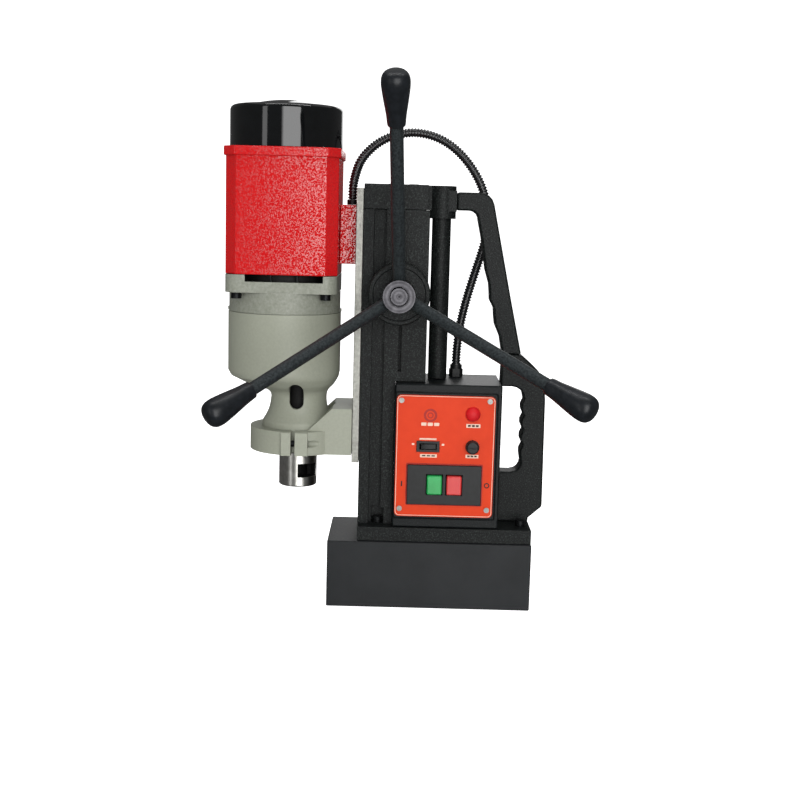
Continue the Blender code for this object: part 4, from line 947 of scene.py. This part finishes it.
def motor():
    low, high = span("motor_housing", "Z")
    inner = square(MOTOR_X, 49.4 * MM, 2.0 * MM, 10 * MM)
    holes = [disc(MOTOR_X + 32 * MM * cos(pi / 4 + turn * pi / 2), 32 * MM * sin(pi / 4 + turn * pi / 2),
                  10 * MM,
                  high - 20 * MM, high + 10 * MM, count=32) for turn in range(4)]
    shell = solid("motor_housing_casting", prism(square(MOTOR_X, HOUSING_HALF, 2.5 * MM, 11 * MM), low,
                                                 high),
                  FINISH["red"], edge=0.9 * MM, segments=3,
                  joins=(prism(square(MOTOR_X, 55.4 * MM, 4.0 * MM, 11.5 * MM), 434.2 * MM,
                               high - 0.05 * MM),),
                  cuts=(prism(inner, low - 5 * MM, high - 6 * MM),
                        disc(MOTOR_X, 0.0, 8.5 * MM, high - 20 * MM, high + 10 * MM, count=48), *holes))
    stand_for(shell, "motor_housing")
    low, high = span("top_cap", "Z")
    radius = 54.9 * MM
    rim = high - 11.0 * MM
    profile = [(0.0, high - 0.2 * MM), (8 * MM, high - 0.5 * MM)]
    profile += [(8 * MM + 36 * MM * step / 8,
                 high - 0.5 * MM - 7.0 * MM * (step / 8) ** 1.6) for step in range(1, 9)]
    profile += [(45.4 * MM, rim + 2.6 * MM), (46.2 * MM, rim + 2.6 * MM), (47.4 * MM, rim + 4.2 * MM)]
    profile += [(radius - 5 * MM + 5 * MM * sin(pi / 2 * step / 8), rim + 5 * MM * cos(pi / 2 * step / 8))
                for step in range(9)]
    profile += [(radius, low), (radius - 3 * MM, low), (radius - 3 * MM, rim - 2 * MM), (0.0, rim - 2 * MM)]
    stand_for(solid("motor_cap_moulding", turned(profile, MOTOR_X, count=128), FINISH["cap_black"]),
              "top_cap")


def clamp():
    """Split ring that holds the gear case's neck, with its ear, and the arm that joins it to the slide."""
    low, high = 149 * MM, 172 * MM
    block_x = (span("clamp_arm", "X")[1] - 19.3 * MM, span("clamp_arm", "X")[1])
    top = span("clamp_arm", "Z")[1]
    web = [(-122 * MM, low), (block_x[1], low), (block_x[1], top), (block_x[0], top), (-122 * MM, high)]
    ear = rectangle((-146.5 * MM, -120.5 * MM), (-50.5 * MM, -34 * MM), 0.6 * MM)
    y, z = -44.5 * MM, 160.5 * MM
    arm = solid("clamp_arm_casting", disc(SPINDLE_X, 0.0, 47.8 * MM, low, high), FINISH["grey"],
                joins=(prism(web, -38 * MM, 38 * MM, "Y"), prism(ear, low + 0.2 * MM, high - 0.2 * MM)),
                edge=1.2 * MM, segments=3,
                cuts=(disc(SPINDLE_X, 0.0, 36.0 * MM, low - 5 * MM, high + 0.1 * MM),
                      disc(SPINDLE_X, 0.0, 36.7 * MM, high, top + 10 * MM),
                      block((-137 * MM, -133 * MM), (-60 * MM, -30 * MM), (low - 5 * MM, high + 5 * MM)),
                      disc(y, z, 3.3 * MM, -144.5 * MM, -110 * MM, "X", 32),
                      disc(y, z, 4.3 * MM, -124.5 * MM, -120.3 * MM, "X", 32)))
    stand_for(arm, "clamp_arm")
    left, seat = -144.0 * MM, -124.2 * MM
    head = turned([(0.0, left), (3.0 * MM, left), (3.0 * MM, seat), (4.0 * MM, seat),
                   (4.0 * MM, seat + 3.4 * MM),
                   (0.0, seat + 3.4 * MM)], y, z, "X", 32)
    recess = prism(ring_of(y, z, 2.2 * MM, 6), seat + 1.4 * MM, seat + 9 * MM, "X")
    stand_for(solid("clamp_cap_screw", head, FINISH["screw_black"], cuts=(recess,), edge=0.3 * MM),
              "clamp_screw")


def spindle():
    low = span("spindle", "Z")[0]
    item = softened_copy("spindle", FINISH["nose"], 0.25 * MM)
    # the spindle's top above the nose is black oxide; the socket's inside is painted near-black, a painted
    # shade
    paint_inside(item, FINISH["bore"], lambda c: c.z > 147 * MM or (
        Vector((c.x - SPINDLE_X, c.y)).length < 16.5 * MM and c.z > low + 1 * MM))


# ---------------------------------------------------------------- feed handle

FIRST_LEVER = radians(92.2)       # angle of the first lever about the hub, from +X towards +Z
SPLAY = radians(30.0)             # how far the levers lean towards the operator


def feed_handle():
    """Three splayed rods with moulded knobs, in a hub with a pressed cap."""
    root = Vector((FEED_X, -70 * MM, FEED_Z))
    tip = [(7.3 * MM, 173.0 * MM), (8.0 * MM, 174.0 * MM), (8.9 * MM, 183.0 * MM), (10.6 * MM, 194.0 * MM),
           (12.0 * MM, 204.0 * MM), (12.6 * MM, 211.0 * MM), (11.9 * MM, 216.5 * MM),
           (9.6 * MM, 220.0 * MM),
           (5.6 * MM, 222.0 * MM), (0.0, 222.6 * MM)]
    curve = [(max(point.x, 0.0), point.y) for point in smooth([Vector(point) for point in tip], 4)]
    knob = [(0.0, 190.5 * MM), (6.3 * MM, 190.5 * MM), (6.3 * MM, 173.0 * MM)] + curve
    rod = [(0.0, 12.5 * MM), (6 * MM, 12.5 * MM), (6 * MM, 190 * MM), (0.0, 190 * MM)]
    for number in range(3):
        turn = FIRST_LEVER + tau * number / 3
        direction = Vector((cos(turn) * cos(SPLAY), -sin(SPLAY), sin(turn) * cos(SPLAY)))
        place = Matrix.Translation(root) @ direction.to_track_quat("Z", "Y").to_matrix().to_4x4()
        for profile, finish, node in ((rod, "rod", "lever_rod"), (knob, "knob", "lever_knob")):
            mesh = turned(profile, count=64)
            mesh.transform(place)
            item = solid(f"{node}_turned_{number + 1}", mesh, FINISH[finish])
            stand_for(item, f"{node}_{number + 1}")
    softened_copy("feed_hub", FINISH["hub"], 0.9 * MM, 3)
    front, back = span("hub_cap", "Y")
    radius = 8.4 * MM
    profile = [(0.0, front + 1.2 * MM), (0.8 * MM, front + 0.3 * MM), (1.2 * MM, front + 0.25 * MM),
               (radius - 0.6 * MM, front + 0.25 * MM), (radius, front + 0.9 * MM), (radius, back),
               (0.0, back)]
    stand_for(solid("hub_cap_turned", turned(profile, FEED_X, FEED_Z, "Y"), FINISH["hub"]), "hub_cap")
    face = -58 * MM
    step = [(29.3 * MM, face + 0.5 * MM), (29.3 * MM, face - 0.4 * MM), (28.2 * MM, face - 1.4 * MM),
            (25.4 * MM, face - 1.4 * MM), (24.6 * MM, face - 0.6 * MM), (24.6 * MM, face + 0.5 * MM)]
    mesh = turned(step, FEED_X, FEED_Z, "Y")
    mesh.verts.ensure_lookup_table()
    bridge(mesh, mesh.verts[-ROUND:], mesh.verts[:ROUND])
    fix_to(solid("boss_rim", mesh, FINISH["cast_black"]), "column_casting")


# ---------------------------------------------------------------- control box

def on_panel(x, z, thickness, corner=0.0, front=PANEL_FACE):
    """A plate that lies on the panel's face."""
    outline = rectangle(x, z, corner) if corner else ((x[0], z[0]), (x[1], z[0]), (x[1], z[1]),
                                                      (x[0], z[1]))
    return prism(outline, front - thickness, front, "Y")


def label(x, z):
    """A white plate with three dark dashes."""
    width = x[1] - x[0]
    dashes = [on_panel((x[0] + width * (0.12 + 0.28 * step), x[0] + width * (0.32 + 0.28 * step)),
                       (z[0] + 1.0 * MM, z[1] - 0.9 * MM), SKIN,
                       front=PANEL_FACE - SKIN) for step in range(3)]
    return on_panel(x, z, SKIN, 0.5 * MM), dashes


def ring_on_panel(x, z, radius, width, count=48):
    mesh = turned([(radius, PANEL_FACE), (radius, PANEL_FACE - SKIN), (radius - width, PANEL_FACE - SKIN),
                   (radius - width, PANEL_FACE)], x, z, "Y", count)
    mesh.verts.ensure_lookup_table()
    bridge(mesh, mesh.verts[-count:], mesh.verts[:count])
    return mesh


def outline_on_panel(x, z, corner, width, front, back, crown=0.0):
    """A frame of an even width from front to back; with a crown, its edges lie lower than its middle."""
    mesh = bmesh.new()
    rings = []
    for inset, y in ((0.0, back), (0.0, front + crown), (width / 2, front), (width, front + crown),
                     (width, back)):
        points = rectangle((x[0] + inset, x[1] - inset), (z[0] + inset, z[1] - inset),
                           max(corner - inset, 0.3 * MM))
        rings.append([mesh.verts.new(along("Y", *point, y)) for point in points])
    for ring, after in zip(rings, rings[1:] + rings[:1]):
        bridge(mesh, ring, after)
    return mesh


def control_panel():
    x, z = span("control_panel", "X"), span("control_panel", "Z")
    back = span("control_panel", "Y")[1]
    plate = prism(rectangle(x, z, 4.5 * MM), PANEL_FACE, back, "Y")
    through = (PANEL_FACE - 5 * MM, back + 5 * MM)
    lamp = (middle("indicator_lamp", "X"), middle("indicator_lamp", "Z"))
    fuse = (middle("fuse_cap", "X"), middle("fuse_cap", "Z"))
    rocker = (middle("rocker_bezel", "X"), middle("rocker_bezel", "Z"))
    switch_x, switch_z = span("switch_block", "X"), span("switch_block", "Z")
    plate = solid("control_panel_plate", plate, FINISH["orange"], cuts=(
        disc(*lamp, 6.4 * MM, *through, "Y"), disc(*fuse, 5.4 * MM, *through, "Y"),
        block(about(rocker[0], 9.6 * MM), through, about(rocker[1], 4.2 * MM)),
        block((switch_x[0] + 5.5 * MM, switch_x[1] - 5.5 * MM), through,
              (switch_z[0] + 3.5 * MM, switch_z[1] - 3.5 * MM))))
    stand_for(plate, "control_panel")
    labels = [label((32.4 * MM, 46.1 * MM), (180.8 * MM, 184.6 * MM)),
              label((-11.5 * MM, 4.9 * MM), (150.7 * MM, 153.9 * MM)),
              label((32.7 * MM, 45.1 * MM), (151.0 * MM, 154.4 * MM))]
    white = [plate for plate, dashes in labels]
    white.append(outline_on_panel((x[0] + 0.7 * MM, x[1] - 0.7 * MM), (z[0] + 0.7 * MM, z[1] - 0.7 * MM),
                                  4 * MM,
                                  0.5 * MM, PANEL_FACE - SKIN, PANEL_FACE))
    white.append(on_panel((rocker[0] - 8.5 * MM, rocker[0] + 8.0 * MM), (167.9 * MM, 169.6 * MM), SKIN))
    for side in (-1, 1):
        white.append(on_panel(about(rocker[0] + side * 14.5 * MM, 1.2 * MM), about(163.5 * MM, 0.9 * MM),
                              SKIN))
    # generic mark: a ring over three bars
    mark_x, mark_z = -2.4 * MM, 192.0 * MM
    for step in range(3):
        white.append(on_panel(about(mark_x + (step - 1) * 6.2 * MM, 2.5 * MM), (181.8 * MM, 184.9 * MM),
                              SKIN, 0.6 * MM))
    fix_to(solid("panel_print_white", merged(white), FINISH["ink_white"]), "control_panel")
    red = [ring_on_panel(mark_x, mark_z, 6.5 * MM, 2.2 * MM),
           ring_on_panel(mark_x, mark_z, 3.0 * MM, 1.2 * MM)]
    # a dark-red frame around the switch block, in the same red ink as the logo rings: painted shadow of the
    # block on the panel
    red.append(outline_on_panel((switch_x[0] - 1.2 * MM, switch_x[1] + 1.2 * MM),
                                (switch_z[0] - 1.2 * MM, switch_z[1] + 1.2 * MM), 1.5 * MM, 1.1 * MM,
                                PANEL_FACE - SKIN, PANEL_FACE))
    fix_to(solid("panel_print_red_and_painted_shadow", merged(red), FINISH["red_ink_and_painted_shadow"]), "control_panel")
    dark = [dash for plate, dashes in labels for dash in dashes]
    dark.append(on_panel(about(switch_x[0] - 5.2 * MM, 0.7 * MM),
                         about(middle("switch_block", "Z"), 2.6 * MM), SKIN))
    dark.append(ring_on_panel(switch_x[1] + 5.4 * MM, middle("switch_block", "Z"), 2.7 * MM, 1.1 * MM))
    fix_to(solid("panel_print_dark", merged(dark), FINISH["ink_dark"]), "control_panel")
    places = [(at_x, PANEL_FACE, at_z) for at_x, at_z in ((-30.6 * MM, 206.2 * MM), (54.7 * MM, 207.0 * MM),
                                                  (-30.4 * MM, 99.6 * MM), (54.7 * MM, 99.7 * MM))]
    screws("panel_screws", places, (0.0, -1.0, 0.0), 2.6 * MM, 1.1 * MM, "zinc", "control_panel",
           recess=0.45, sides=4)
    box_front = span("control_box", "Y")[0]
    ridge = outline_on_panel((x[0] - 1.6 * MM, x[1] + 3.0 * MM), (z[0] - 3.0 * MM, z[1] + 3.2 * MM), 3 * MM,
                             1.4 * MM,
                             box_front - 1.5 * MM, box_front + 0.5 * MM, 0.7 * MM)
    fix_to(solid("panel_surround", ridge, FINISH["box_black"]), "control_box")


def fittings():
    """What sits on the panel: the lamp's lens, turned fine enough to look round."""
    face = FITTING_FACE
    x, z = middle("indicator_lamp", "X"), middle("indicator_lamp", "Z")
    dome = [(0.0, face - 6.2 * MM), (1.8 * MM, face - 6.05 * MM), (3.6 * MM, face - 5.6 * MM),
            (5.2 * MM, face - 4.6 * MM), (6.2 * MM, face - 3.4 * MM), (6.9 * MM, face - 1.8 * MM),
            (7.3 * MM, face)]
    lens = turned(dome + [(6.0 * MM, face), (6.0 * MM, -22 * MM), (0.0, -22 * MM)], x, z, "Y", 64)
    stand_for(solid("lamp_lens", lens, FINISH["lens"]), "indicator_lamp")


# ---------------------------------------------------------------- copies with rounded edges

gear_case()
motor()
clamp()
spindle()
feed_handle()
control_panel()
fittings()

SOFTENED = {
    "base_black": (("magnet_housing", 0.9),),
    "cast_black": (("column_casting", 1.1), ("top_bracket", 1.2), ("rear_post", 0.6), ("upper_handle", 1.8),
                   ("lower_handle", 1.8)),
    "box_black": (("control_box", 1.4), ("control_box_cover", 0.5)),
    "switch_black": (("switch_block", 0.6), ("rocker_bezel", 0.3), ("magnet_rocker", 0.3),
                     ("fuse_holder", 0.2),
                     ("fuse_cap", 0.2)),
    "gland": (("mains_gland", 0.3),),
    "red": (("terminal_box", 0.8),),
    "green": (("start_button", 1.2),),
    "button_red": (("stop_button", 1.2),),
    "slide": (("slide_plate", 0.5),),
    "screw_black": tuple((f"foot_bolt_{number}", 0.5) for number in (1, 2, 3, 4))
                   + tuple((f"gib_screw_{number}", 0.2) for number in (1, 2, 3)),
    "bronze": (("gib_strip", 0.2), ("pinion_bush_front", 0.3), ("pinion_bush_rear", 0.3),
               ("brush_holder_front", 0.4), ("brush_holder_rear", 0.4)),
    "gear": (("pinion_shaft", 0.2), ("feed_rack", 0.2), ("idler_gear", 0.2), ("armature_bearing", 0.3),
             ("spindle_bearing", 0.3)),
    "pole": (("magnet_core", 0.6),),
    "winding": (("magnet_coil", 1.5), ("armature", 0.2)),
    "laminations": (("stator_core", 0.3),),
    "board": (("control_board", 0.2),),
}
for finish, pieces in SOFTENED.items():
    for node, edge in pieces:
        softened_copy(node, FINISH[finish], edge * MM)

shim = solid("bracket_shim", block((-70 * MM, -12 * MM), (-30 * MM, 30 * MM), (387.75 * MM, 387.95 * MM)),
             FINISH["cast_black"])
fix_to(shim, "top_bracket")
cover = span("control_box_cover", "Y")[1]
cover_x, cover_z = span("control_box_cover", "X"), span("control_box_cover", "Z")
screws("cover_screws", [(x, cover, z) for x in (cover_x[0] + 6 * MM, cover_x[1] - 6 * MM)
                        for z in (cover_z[0] + 6 * MM, cover_z[1] - 6 * MM)],
       (0.0, 1.0, 0.0), 2.8 * MM, 1.6 * MM, "screw_black", "control_box_cover")
screws("bracket_screws", [(x * MM, y * MM, span("top_bracket", "Z")[1]) for x in (-44, -24) for y in (-19,
                                                                                                      19)],
       (0.0, 0.0, 1.0), 4.5 * MM, 0.5 * MM, "screw_black", "top_bracket")
